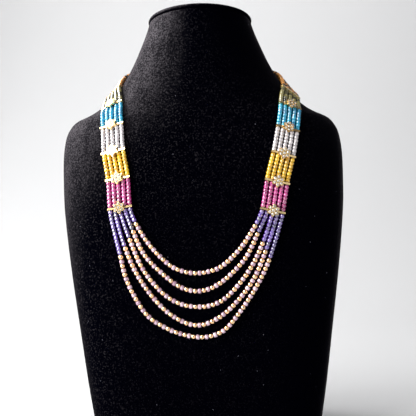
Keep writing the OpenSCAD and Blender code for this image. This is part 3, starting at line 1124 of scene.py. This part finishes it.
class Heap:
    """Collects the vertices and faces of one piece, in millimetres."""

    def __init__(self) -> None:
        """Starts empty."""
        self.points: list[Points] = []
        self.faces: Faces = []
        self.tones: list[float] = []
        self.paints: list[int] = []
        self.count = 0

    def add(self, points: Points, faces: Faces, tone: float = 0.5, paint: int = 0) -> None:
        """Adds one closed shape.

        Args:
            points: Its vertices.
            faces: Its faces, counted from its own first vertex.
            tone: How light it is, between 0 and 1.
            paint: The number of its material.
        """
        self.points.append(points)
        self.faces.extend(tuple(i + self.count for i in face) for face in faces)
        self.tones.extend([tone] * len(points))
        self.paints.extend([paint] * len(faces))
        self.count += len(points)

    def piece(self, name: str, finishes: Sequence[bpy.types.Material], slot: str,
              shading: Shading, replaces: Sequence[str] = ()) -> None:
        """Makes the object and puts it on the part.

        Args:
            name: The piece's name.
            finishes: Its materials, by paint number.
            slot: The record's material slot. Not used.
            shading: How its faces take the light.
            replaces: The CAD nodes that it stands for.
        """
        mesh = bpy.data.meshes.new(name)
        mesh.from_pydata((np.vstack(self.points) * MM).tolist(), [], self.faces)
        mesh.attributes.new(TONE, "FLOAT", "POINT").data.foreach_set("value", self.tones)
        for finish in finishes:
            mesh.materials.append(finish)
        mesh.polygons.foreach_set("material_index", self.paints)
        mesh.polygons.foreach_set("use_smooth", [shading is Shading.ROUND] * len(self.faces))
        mesh.update()
        if shading is Shading.ROUND:
            mesh.set_sharp_from_angle(angle=SHARP_ANGLE)
        made = bpy.data.objects.new(name, mesh)
        bpy.context.scene.collection.objects.link(made)
        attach(made, "root")
        if replaces:
            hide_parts(*replaces)
        log.info("%s: %d faces", name, len(self.faces))


def ring_faces(first: int, second: int, sides: int) -> Faces:
    """Joins two rings of the same number of points.

    Args:
        first: The number of the first ring's first vertex.
        second: The number of the second ring's first vertex.
        sides: How many points each ring has.

    Returns:
        The quads between the rings.
    """
    steps = [(i, (i + 1) % sides) for i in range(sides)]
    return [(first + i, first + j, second + j, second + i) for i, j in steps]


def skin(rings: Sequence[Points], closed: bool = False) -> Shape:
    """Covers rings that run counterclockwise as seen from the last one.

    Args:
        rings: The rings.
        closed: Whether the last ring joins the first. The ends are capped otherwise.

    Returns:
        The vertices and faces.
    """
    sides, count = len(rings[0]), len(rings)
    faces: Faces = []
    for k in range(count - 1 + closed):
        faces += ring_faces(k * sides, (k + 1) % count * sides, sides)
    if not closed:
        faces.append(tuple(range(sides - 1, -1, -1)))
        faces.append(tuple((count - 1) * sides + i for i in range(sides)))
    return np.vstack(rings), faces


def lathe(profile: Sequence[Span], sides: int) -> Shape:
    """Turns a closed profile of radius and height round Z.

    Args:
        profile: The outline, upwards on its outer side.
        sides: How many sides the turned shape has.

    Returns:
        The vertices and faces.
    """
    turn = np.linspace(0, 2 * math.pi, sides, endpoint=False)
    rings = [np.column_stack([r * np.cos(turn), r * np.sin(turn), np.full(sides, z)]) for r, z in profile]
    return skin(rings, closed=True)


def turn_round_z(angle: float) -> Points:
    """Works out a turn round Z.

    Args:
        angle: The angle in radians.

    Returns:
        The turn's matrix.
    """
    c, s = math.cos(angle), math.sin(angle)
    return np.array([[c, -s, 0], [s, c, 0], [0, 0, 1]])


def strung(a: Points, b: Points, spin: float) -> tuple[Points, Points]:
    """Finds the place and turn of a bead that hangs on a stretch of string.

    Args:
        a: The point where the stretch starts.
        b: The point where it ends.
        spin: How far the bead is turned round the string.

    Returns:
        The middle of the stretch and a matrix that turns Z along it.
    """
    along = unit(b - a)
    guide = LEVEL_GUIDE if abs(along[2]) < UPRIGHT_FROM else UPRIGHT_GUIDE
    aside = unit(np.cross(along, guide))
    up = np.cross(along, aside)
    c, s = math.cos(spin), math.sin(spin)
    return (a + b) / 2, np.column_stack([aside * c + up * s, up * c - aside * s, along])


def hang(heap: Heap, bead: Shape, a: Points, b: Points, chance: np.random.Generator) -> None:
    """Adds a bead on a stretch of string, with its own turn and tone.

    Args:
        heap: The piece that the bead belongs to.
        bead: Its vertices and faces.
        a: The point where the stretch starts.
        b: The point where it ends.
        chance: The source of the turn and the tone.
    """
    middle, turn = strung(a, b, chance.uniform(0, 2 * math.pi))
    heap.add(bead[0] @ turn.T + middle, bead[1], chance.uniform(0, 1))


def tube(points: Points, radius: float, sides: int) -> Shape:
    """Runs a round tube along points.

    Args:
        points: The points of its middle line.
        radius: Its radius.
        sides: How many sides it has.

    Returns:
        The vertices and faces.
    """
    turn = np.linspace(0, 2 * math.pi, sides, endpoint=False)
    rings = []
    aside = np.array([0.0, -1.0, 0.0])
    for k, p in enumerate(points):
        along = unit(points[min(k + 1, len(points) - 1)] - points[max(k - 1, 0)])
        up = unit(np.cross(along, aside))
        aside = np.cross(up, along)
        rings.append(p + radius * (np.outer(np.cos(turn), aside) + np.outer(np.sin(turn), up)))
    return skin(rings)


@dataclass(frozen=True)
class RoundBead:
    """A smooth round bead with a rounded bore.

    Attributes:
        diameter: The bead's diameter.
        bore: The bore's diameter.
        sides: How many sides the bead has round its bore.
        rows: How many rings of points it has from end to end.
        bore_edge: How far outside the bore the round part ends.
        bore_lip: How far the bore's rim stands out past those ends.
    """

    diameter: float
    bore: float
    sides: int = 24
    rows: int = 13
    bore_edge: float = 0.08
    bore_lip: float = 0.02

    def shape(self) -> Shape:
        """Builds the bead with its bore along Z.

        Returns:
            The vertices and faces.
        """
        r, hole = self.diameter / 2, self.bore / 2
        low = math.asin((hole + self.bore_edge) / r)
        turns = np.linspace(math.pi - low, low, self.rows)
        outer = [(r * math.sin(t), r * math.cos(t)) for t in turns]
        end = outer[-1][1] + self.bore_lip
        return lathe([(hole, -end), *outer, (hole, end)], self.sides)


@dataclass(frozen=True)
class CutBead:
    """A rondelle with kite facets round its girdle and flat drilled ends.

    Attributes:
        diameter: The bead's diameter at its girdle.
        length: Its length along the bore.
        bore: The bore's diameter.
        sides: How many facets it has round its girdle.
        end_share: Width of the flat ends as a share of the diameter.
        row_share: How far the rows of corners lie from the girdle, as a share of the length.
    """

    diameter: float
    length: float
    bore: float
    sides: int = 14
    end_share: float = 0.70
    row_share: float = 0.30

    def shape(self) -> Shape:
        """Builds the bead with its bore along Z.

        Returns:
            The vertices and faces.
        """
        n, r, half = self.sides, self.diameter / 2, self.length / 2
        step = 2 * math.pi / n
        row_r = r * (1 - 2 * self.row_share * (1 - self.end_share)) / math.cos(step / 2)
        row_z = self.row_share * self.length
        # Radius, height and turn of each ring of corners, the turn as a share of their step
        levels = (
            (self.bore / 2, -half, 0.0),
            (self.end_share * r, -half, 0.0),
            (row_r, -row_z, 0.5),
            (r, 0.0, 0.0),
            (row_r, row_z, 0.5),
            (self.end_share * r, half, 0.0),
            (self.bore / 2, half, 0.0),
        )
        points = np.array([
            (radius * math.cos((k + shift) * step), radius * math.sin((k + shift) * step), z)
            for radius, z, shift in levels for k in range(n)
        ])
        hole, low, row, belt, upper, high, far_hole = (level * n for level in range(len(levels)))
        faces: Faces = ring_faces(hole, low, n) + ring_faces(high, far_hole, n)
        faces += ring_faces(far_hole, hole, n)
        for k in range(n):
            j = (k + 1) % n
            faces += [
                (low + k, low + j, row + k), (low + j, row + j, belt + j, row + k),
                (row + k, belt + j, belt + k), (belt + k, belt + j, upper + k),
                (belt + j, upper + j, high + j, upper + k), (upper + k, high + j, high + k),
            ]
        return points, faces


@dataclass(frozen=True)
class BrilliantCut:
    """A round stone with a table, kites, stars and a pointed pavilion.

    Attributes:
        diameter: The stone's diameter.
        crown: Height of the crown over the girdle.
        girdle: Thickness of the girdle.
        pavilion: Depth of the pavilion under the girdle.
        table_share: Width of the table as a share of the diameter.
        star_share: Width of the ring of the stars' tips as a share of the diameter.
        star_rise: How much higher those tips lie than on a straight cone, as a factor.
        lower_share: Width of the ring where the lower halves end, as a share of the diameter.
        lower_sink: How deep that ring lies as a share of a straight cone's depth.
        kites: How many kites the crown has.
    """

    diameter: float = 2.34
    crown: float = 0.40
    girdle: float = 0.07
    pavilion: float = 0.84
    table_share: float = 0.56
    star_share: float = 0.80
    star_rise: float = 1.12
    lower_share: float = 0.42
    lower_sink: float = 0.93
    kites: int = 8

    def circle(self, radius: float, z: float, count: int, shift: float = 0.0) -> Points:
        """Returns a level circle of points, turned by a share of their step."""
        t = (np.arange(count) + shift) * 2 * math.pi / count
        return np.column_stack([radius * np.cos(t), radius * np.sin(t), np.full(count, z)])

    def corners(self) -> Points:
        """Works out the corners.

        Returns:
            The corners from the table down to the tip.
        """
        n, r = self.kites, self.diameter / 2
        star_z = self.girdle + self.crown * (1 - self.star_share) / (1 - self.table_share) * self.star_rise
        lower_z = -self.pavilion * (1 - self.lower_share) * self.lower_sink
        return np.vstack([
            self.circle(r * self.table_share, self.girdle + self.crown, n),
            self.circle(r * self.star_share, star_z, n, 0.5),
            self.circle(r, self.girdle, 2 * n),
            self.circle(r, 0, 2 * n),
            self.circle(r * self.lower_share, lower_z, n, 0.5),
            [(0, 0, -self.pavilion)],
        ])

    def shape(self) -> Shape:
        """Builds the stone with its girdle's lower edge at height zero.

        Returns:
            The vertices and faces.
        """
        n = self.kites
        table, star, upper, lower, main_row, tip = 0, n, 2 * n, 4 * n, 6 * n, 7 * n
        faces: Faces = [tuple(range(n))] + ring_faces(lower, upper, 2 * n)
        for k in range(n):
            j, g = (k + 1) % n, 2 * k
            g1, g2 = g + 1, (g + 2) % (2 * n)
            faces += [
                (table + k, star + k, table + j), (table + j, star + k, upper + g2, star + j),
                (star + k, upper + g, upper + g1), (star + k, upper + g1, upper + g2),
                (main_row + k, lower + g1, lower + g), (main_row + k, lower + g2, lower + g1),
                (lower + g2, main_row + k, tip, main_row + j),
            ]
        return self.corners(), faces


@dataclass
class VelvetBust:
    """The neck bust and its cap, both covered in velvet.

    Attributes:
        layout: The sizes that all parts share.
        velvet: The velvet's material.
        sides: How many points a ring has.
        step: Height from ring to ring.
        foot_edge: Radius of the soft edge round the foot.
        foot_steps: Steps of that edge.
        cap_thickness: Thickness of the cap at its edge.
        cap_lip: How far the cap reaches past the neck.
        cap_sides: How many sides the cap has.
        edge_steps: Steps of the cap's rolled edge.
        dome: How much the cap rises towards its middle.
        dome_shares: Widths of the rings on the dome as shares of the cap's.
        centre_hole: Radius of the fine hole that turning leaves in the cap's middle.
    """

    layout: Layout
    velvet: bpy.types.Material
    sides: int = 300
    step: float = 1.7
    foot_edge: float = 2.0
    foot_steps: int = 6
    cap_thickness: float = 4.0
    cap_lip: float = 0.8
    cap_sides: int = 160
    edge_steps: int = 12
    dome: float = 0.5
    dome_shares: tuple[float, ...] = (0.9, 0.75, 0.6, 0.4, 0.2)
    centre_hole: float = 0.5

    def body(self) -> None:
        """Builds the body with a soft edge round its foot."""
        form = self.layout.bust
        rings = []
        for k in range(self.foot_steps):
            t = math.pi / 2 * k / self.foot_steps
            inset = self.foot_edge * (1 - math.sin(t))
            rings.append(form.ring(self.foot_edge * (1 - math.cos(t)), self.sides, inset))
        rings += [form.ring(z, self.sides) for z in np.arange(self.foot_edge, form.height, self.step)]
        rings.append(form.ring(form.height, self.sides))
        heap = Heap()
        heap.add(*skin([ring[::-1] for ring in rings][::-1]))
        heap.piece("velvet_bust", [self.velvet], "black_velvet", Shading.ROUND, ["bust_body"])

    def cap(self) -> None:
        """Builds the cap with its rolled edge and a low dome."""
        form, edge = self.layout.bust, self.cap_thickness / 2
        rim = form.neck_radius + self.cap_lip
        profile = [(self.centre_hole, -edge)]
        for k in range(self.edge_steps + 1):
            t = math.pi * (k / self.edge_steps - 0.5)
            profile.append((rim - edge + edge * math.cos(t), edge * math.sin(t)))
        profile += [(rim * share, edge + self.dome * (1 - share)) for share in self.dome_shares]
        profile.append((self.centre_hole, edge + self.dome))
        points, faces = lathe(profile, self.cap_sides)
        slope = math.radians(form.cap_slope)
        c, s = math.cos(slope), math.sin(slope)
        tilt = np.array([[1, 0, 0], [0, c, s], [0, -s, c]])
        heap = Heap()
        heap.add((points + [0, 0, self.layout.lay_gap + edge]) @ tilt.T + [0, 0, form.height], faces)
        heap.piece("velvet_cap", [self.velvet], "black_velvet", Shading.ROUND, ["neck_cap"])

    def build(self) -> None:
        """Builds the bust and its cap."""
        self.body()
        self.cap()


@dataclass
class Festoon:
    """The hanging strands of gold and lilac beads, with purple beads at both ends.

    Attributes:
        layout: The sizes that all parts share.
        gold: Material of the gold beads.
        lilac: Material of the lilac beads.
        purple: Material of the purple beads.
        thread: Material of the threads.
        lilac_end_share: Width of the lilac beads' flat ends as a share of their diameter.
        thread_sides: Sides of the threads between gold and lilac beads.
        end_thread_sides: Sides of the threads in the purple beads.
        seed: Where the beads' random turns and tones start.
    """

    layout: Layout
    gold: bpy.types.Material
    lilac: bpy.types.Material
    purple: bpy.types.Material
    thread: bpy.types.Material
    lilac_end_share: float = 0.84
    thread_sides: int = 8
    end_thread_sides: int = 6
    seed: int = 11

    def __post_init__(self) -> None:
        """Starts the draws that give each bead its turn and tone."""
        self.chance = np.random.default_rng(self.seed)

    def strand(self, number: int) -> Points:
        """Builds one strand's gold and lilac beads.

        Args:
            number: The strand's number, from the inner one.

        Returns:
            The points of its thread.
        """
        lay = self.layout
        route = lay.strand(number)
        points = route.at(lay.bead_joints(number, route.length))
        ball = RoundBead(lay.gold_d, lay.bore_d).shape()
        rondelle = CutBead(lay.lilac_d, lay.lilac_l, lay.bore_d, end_share=self.lilac_end_share).shape()
        golds, lilacs = Heap(), Heap()
        for k, (a, b) in enumerate(zip(points, points[1:])):
            if k % 2:
                hang(lilacs, rondelle, a, b, self.chance)
            else:
                hang(golds, ball, a, b, self.chance)
        gold_nodes, lilac_nodes = [f"gold_beads_{number}"], [f"lilac_beads_{number}"]
        golds.piece(f"gold_strand_{number}", [self.gold], "bead_gold", Shading.ROUND, gold_nodes)
        lilacs.piece(f"lilac_strand_{number}", [self.lilac], "lilac_gem", Shading.FACETED, lilac_nodes)
        return points

    def purple_ends(self, side: Side) -> None:
        """Builds the purple beads of all strands on one side, on their threads.

        Args:
            side: The side of the necklace.
        """
        lay = self.layout
        bead = CutBead(lay.gem_d, lay.gem_l * lay.gem_share, lay.bore_d).shape()
        heap = Heap()
        for number in range(1, STRINGS + 1):
            route = lay.strand(number)
            s = np.linspace(0, lay.purple_length(number), PURPLE_BEADS[number - 1] + 1)
            points = route.at(s if side is Side.LEFT else route.length - s)
            for a, b in zip(points, points[1:]):
                hang(heap, bead, a, b, self.chance)
            heap.add(*tube(points, lay.thread_d / 2, self.end_thread_sides), paint=THREAD_PAINT)
        heap.piece(
            f"purple_beads_{side.word}", [self.purple, self.thread], "purple_gem", Shading.FACETED,
            [f"purple_strings_{side.word}"],
        )

    def build(self) -> None:
        """Builds all strands."""
        threads = Heap()
        for number in range(1, STRINGS + 1):
            threads.add(*tube(self.strand(number), self.layout.thread_d / 2, self.thread_sides))
        threads.piece("strand_threads", [self.thread], "thread", Shading.ROUND, ["bead_threads"])
        for side in Side:
            self.purple_ends(side)


@dataclass
class ColourBand:
    """One band of five strings of gem beads between two bars, or from the last bar to the clasp.

    Attributes:
        layout: The sizes that all parts share.
        colour: The band's name, as its nodes have it.
        bar: The bar that the band starts at.
        gem: Material of the beads.
        thread: Material of the threads.
        thread_sides: Sides of the threads.
        seed_step: How far apart the starts of the bands' random draws lie.
    """

    layout: Layout
    colour: str
    bar: int
    gem: bpy.types.Material
    thread: bpy.types.Material
    thread_sides: int = 6
    seed_step: int = 100

    def build(self, side: Side) -> None:
        """Builds the band on one side.

        Args:
            side: The side of the necklace.
        """
        lay = self.layout
        chance = np.random.default_rng(self.seed_step * self.bar + side.value)
        heap = Heap()
        for route in lay.band_strings(side, self.bar):
            count = round(route.length / (lay.gem_l + lay.gem_room))
            pitch = route.length / count
            bead = CutBead(lay.gem_d, pitch * lay.gem_share, lay.bore_d).shape()
            points = route.at(np.arange(count + 1) * pitch)
            for a, b in zip(points, points[1:]):
                hang(heap, bead, a, b, chance)
            start = points[0] + unit(points[0] - points[1]) * lay.bar_gap
            end = points[-1] + unit(points[-1] - points[-2]) * lay.bar_gap
            thread = tube(np.vstack([start, points, end]), lay.thread_d / 2, self.thread_sides)
            heap.add(*thread, paint=THREAD_PAINT)
        heap.piece(
            f"{self.colour}_beads_{side.word}", [self.gem, self.thread], f"{self.colour}_gem",
            Shading.FACETED, [f"{self.colour}_strings_{side.word}"],
        )


@dataclass
class StoneFlower:
    """The seven cut stones of a spacer's flower, each held by four claws on its collar.

    Attributes:
        layout: The sizes that all parts share.
        stone: Material of the stones.
        gold: Material of the claws.
        petals: How many stones stand round the middle one.
        first_petal: Angle of the first of them, in degrees.
        petal_r: Their distance from the middle one.
        collar_r: Radius of the middle of a collar's rim, where the claws stand.
        collar_top: Height of the collars' rims over the underside of the flower's plate.
        girdle: Height of the stones' girdles over the same.
        claws: How many claws a stone has.
        claw_r: Radius of the claws.
        claw_rise: Height over the rim at which a claw's round tip starts.
        claw_foot: Widths and heights of a claw's lower rings, the widths as shares of the claw's.
        claw_core: Radius of the fine hole that turning leaves in a claw.
        claw_steps: Steps of a claw's round tip.
        claw_sides: Sides of a claw.
        seed: Where the flowers' random draws start.
        seed_step: How far apart the starts of two flowers lie.
    """

    layout: Layout
    stone: bpy.types.Material
    gold: bpy.types.Material
    petals: int = 6
    first_petal: float = 30.0
    petal_r: float = 3.1
    collar_r: float = 1.35
    collar_top: float = 1.6
    girdle: float = 1.45
    claws: int = 4
    claw_r: float = 0.21
    claw_rise: float = 0.08
    claw_foot: tuple[Span, ...] = ((0.8, -0.5), (0.85, -0.1))
    claw_core: float = 0.02
    claw_steps: int = 4
    claw_sides: int = 10
    seed: int = 1000
    seed_step: int = 10

    def claw(self) -> Shape:
        """Builds one claw with its round tip over the collar's rim.

        Returns:
            The vertices and faces.
        """
        r, rise = self.claw_r, self.claw_rise
        tip = np.linspace(0, math.pi / 2, self.claw_steps + 1)[:-1]
        profile = [(self.claw_core, self.claw_foot[0][1])]
        profile += [(r * share, z) for share, z in self.claw_foot]
        profile += [(r * math.cos(t), rise + r * math.sin(t)) for t in tip]
        profile.append((self.claw_core, rise + r))
        return lathe(profile, self.claw_sides)

    def build(self, side: Side, number: int) -> None:
        """Sets the stones and claws on one spacer.

        Args:
            side: The side of the necklace.
            number: The spacer's number, from the front.
        """
        lay = self.layout
        bar = lay.bar(side, number)
        plate = float(bar.heights.max()) + lay.gem_d / 2 + lay.plate_gap
        chance = np.random.default_rng(self.seed + self.seed_step * number + side.value)
        cut, facets = BrilliantCut().shape()
        claw, claw_faces = self.claw()
        turn, origin = bar.place.matrix(), bar.place.origin
        stones, claws = Heap(), Heap()
        for k in range(self.petals + 1):
            angle = math.radians(self.first_petal + 360 / self.petals * k)
            reach = self.petal_r if k < self.petals else 0.0
            seat = np.array([reach * math.cos(angle), reach * math.sin(angle), plate])
            spun = cut @ turn_round_z(chance.uniform(0, 2 * math.pi)).T + seat + [0, 0, self.girdle]
            stones.add(spun @ turn.T + origin, facets, chance.uniform(0, 1))
            for j in range(self.claws):
                t = angle + math.pi / self.claws + 2 * math.pi / self.claws * j
                foot = seat + [self.collar_r * math.cos(t), self.collar_r * math.sin(t), self.collar_top]
                claws.add((claw + foot) @ turn.T + origin, claw_faces)
        stones.piece(f"stones_{side.word}_{number}", [self.stone], "clear_stone", Shading.FACETED)
        claws.piece(f"claws_{side.word}_{number}", [self.gold], "spacer_gold", Shading.ROUND)


@dataclass(frozen=True)
class Lamp:
    """A square soft light.

    Attributes:
        name: The lamp's name.
        at: Its place in metres.
        towards: The point that it faces, in metres.
        size: Its width in metres.
        power: Its power in watts.
        spill: Which surfaces it reaches.
    """

    name: str
    at: Triple
    towards: Triple
    size: float
    power: float
    spill: Spill = Spill.ALL

    def light(self) -> None:
        """Puts the lamp in its place."""
        light = bpy.data.lights.new(self.name, "AREA")
        light.size = self.size
        light.energy = self.power
        lamp = bpy.data.objects.new(self.name, light)
        lamp.location = self.at
        lamp.visible_glossy = self.spill is not Spill.MATT
        lamp.visible_diffuse = self.spill is not Spill.SHINY
        beam = Vector(self.towards) - Vector(self.at)
        lamp.rotation_euler = beam.to_track_quat("-Z", "Y").to_euler()
        bpy.context.scene.collection.objects.link(lamp)
        log.info("%s: %.1f W", self.name, self.power)


LAMPS = (
    Lamp("window_left", (-0.95, -0.55, 0.55), (0, 0, 0.24), 0.9, 26.0),
    Lamp("window_back", (-1.0, 0.18, 0.85), (0, 0, 0.28), 0.8, 13.0),
    Lamp("right_card", (0.85, -0.80, 0.50), (0, 0, 0.24), 1.2, 3.0),
    Lamp("paper_wash", (0.15, 0.3, 1.5), (0.15, 1.5, 0.4), 1.6, 15.0, Spill.MATT),
    Lamp("floor_fill", (0.75, 0.05, 0.45), (0.25, 0, 0), 0.4, 0.8, Spill.MATT),
    Lamp("top_card", (-0.75, 0.05, 1.05), (-0.05, 0, 0.28), 0.8, 13.0, Spill.SHINY),
    Lamp("front_card", (-0.55, -0.62, 0.95), (0, -0.05, 0.24), 0.45, 6.5, Spill.SHINY),
)


@dataclass
class Studio:
    """A pale floor that sweeps up behind, soft lights and the camera.

    Attributes:
        eye: The camera's place, in millimetres as all lengths here.
        roll: How far the camera is turned round its own axis, in degrees.
        view_half_width: Half the width that the camera takes in at the view's distance.
        view_distance: That distance.
        clip: The nearest and the farthest distance that the camera shows.
        floor_front: Where the floor starts in front.
        floor_back: Where the sweep starts behind.
        sweep_radius: The sweep's radius.
        sweep_steps: Steps of the sweep.
        sweep_top: Height of the backdrop over the floor.
        half_width: Half the width of floor and backdrop.
        room_colour: Colour of the room's even light.
        room_strength: Strength of that light.
    """

    eye: Triple = (3.44, -570.0, 201.0)
    roll: float = 1.3
    view_half_width: float = 166.4
    view_distance: float = 500.0
    clip: Span = (10.0, 20000.0)
    floor_front: float = -1500.0
    floor_back: float = 500.0
    sweep_radius: float = 900.0
    sweep_steps: int = 48
    sweep_top: float = 2600.0
    half_width: float = 3200.0
    room_colour: Colour = (0.95, 0.96, 1.0)
    room_strength: float = 0.12

    def floor(self) -> None:
        """Builds the floor and its sweep."""
        back, radius = self.floor_back, self.sweep_radius
        line = [(self.floor_front, 0.0), (back, 0.0)]
        line += [
            (back + radius * math.sin(t), radius * (1 - math.cos(t)))
            for t in np.linspace(0, math.pi / 2, self.sweep_steps + 1)[1:]
        ]
        line.append((back + radius, self.sweep_top))
        edges = (-self.half_width, self.half_width)
        points = [(x * MM, y * MM, z * MM) for y, z in line for x in edges]
        faces = [(2 * k, 2 * k + 1, 2 * k + 3, 2 * k + 2) for k in range(len(line) - 1)]
        mesh = bpy.data.meshes.new("paper_sweep")
        mesh.from_pydata(points, [], faces)
        mesh.polygons.foreach_set("use_smooth", [True] * len(faces))
        mesh.materials.append(PaperFinish().material())
        paper = bpy.data.objects.new("paper_sweep", mesh)
        bpy.context.scene.collection.objects.link(paper)
        log.info("paper_sweep: %d faces", len(faces))

    def camera(self) -> None:
        """Sets up the camera at the photograph's angle."""
        lens = bpy.data.cameras.new("camera")
        lens.angle = 2 * math.atan(self.view_half_width / self.view_distance)
        lens.clip_start = self.clip[0] * MM
        lens.clip_end = self.clip[1] * MM
        eye = bpy.data.objects.new("camera", lens)
        c, s = math.cos(math.radians(self.roll)), math.sin(math.radians(self.roll))
        turn = Matrix(((c, s, 0), (0, 0, -1), (-s, c, 0))).to_4x4()
        eye.matrix_world = Matrix.Translation(Vector(self.eye) * MM) @ turn
        bpy.context.scene.collection.objects.link(eye)
        bpy.context.scene.camera = eye

    def world(self) -> None:
        """Fills the room with an even pale light."""
        room = bpy.data.worlds.new("room")
        room.use_nodes = True
        back = room.node_tree.nodes["Background"]
        back.inputs["Color"].default_value = (*self.room_colour, 1.0)
        back.inputs["Strength"].default_value = self.room_strength
        bpy.context.scene.world = room
        bpy.context.scene.view_settings.view_transform = "Standard"

    def build(self) -> None:
        """Builds the floor, lights and camera."""
        self.floor()
        self.world()
        for lamp in LAMPS:
            lamp.light()
        self.camera()


SPACER_GOLD = MetalFinish("spacer_gold", (1.0, 0.78, 0.44), (0.86, 0.58, 0.23), 0.24)
BEAD_GOLD = MetalFinish("bead_gold", (1.0, 0.79, 0.50), (1.0, 0.58, 0.27), 0.25)
LILAC = GemFinish("lilac_gem", (0.46, 0.25, 0.36), (0.70, 0.48, 0.58))
PURPLE = GemFinish("purple_gem", (0.010, 0.002, 0.065), (0.14, 0.058, 0.42))

# The bands' gems, from the front to the nape
BAND_GEMS = {
    "pink": GemFinish("pink_gem", (0.28, 0.004, 0.105), (0.62, 0.035, 0.29), coat=0.85),
    "yellow": GemFinish("yellow_gem", (0.58, 0.29, 0.0), (0.94, 0.57, 0.0), coat=0.4),
    "white": GemFinish("white_gem", (0.46, 0.42, 0.43), (0.64, 0.60, 0.61)),
    "turquoise": GemFinish("turquoise_gem", (0.0, 0.195, 0.37), (0.0, 0.40, 0.63), coat=0.3),
    "olive": GemFinish("olive_gem", (0.014, 0.012, 0.001), (0.28, 0.24, 0.07), spread=0.24, coat=0.7),
    "amber": GemFinish("amber_gem", (0.05, 0.022, 0.004), (0.78, 0.33, 0.07), spread=0.24),
}


def dress_metal(gold: bpy.types.Material) -> None:
    """Gives the spacers, plain bars and clasp their gold.

    Args:
        gold: The gold's material.
    """
    for name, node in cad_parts.items():
        if name.startswith(("spacer_", "plain_bar_")) or name == "clasp":
            node.data.materials.clear()
            node.data.materials.append(gold)
            log.info("%s: gold", name)


def main() -> None:
    """Builds and dresses the necklace, its bust and the studio."""
    logging.basicConfig(level=logging.INFO, format="%(name)s: %(message)s")
    layout = Layout()
    thread = ThreadFinish().material()
    spacer_gold = SPACER_GOLD.material()
    VelvetBust(layout, VelvetFinish().material()).build()
    Festoon(layout, BEAD_GOLD.material(), LILAC.material(), PURPLE.material(), thread).build()
    for bar, (colour, finish) in enumerate(BAND_GEMS.items(), start=1):
        band = ColourBand(layout, colour, bar, finish.material(), thread)
        for side in Side:
            band.build(side)
    flower = StoneFlower(layout, StoneFinish().material(), spacer_gold)
    for side in Side:
        for number in range(1, LAST_BAR):
            flower.build(side, number)
    dress_metal(spacer_gold)
    Studio().build()


if __name__ == "__main__":
    main()
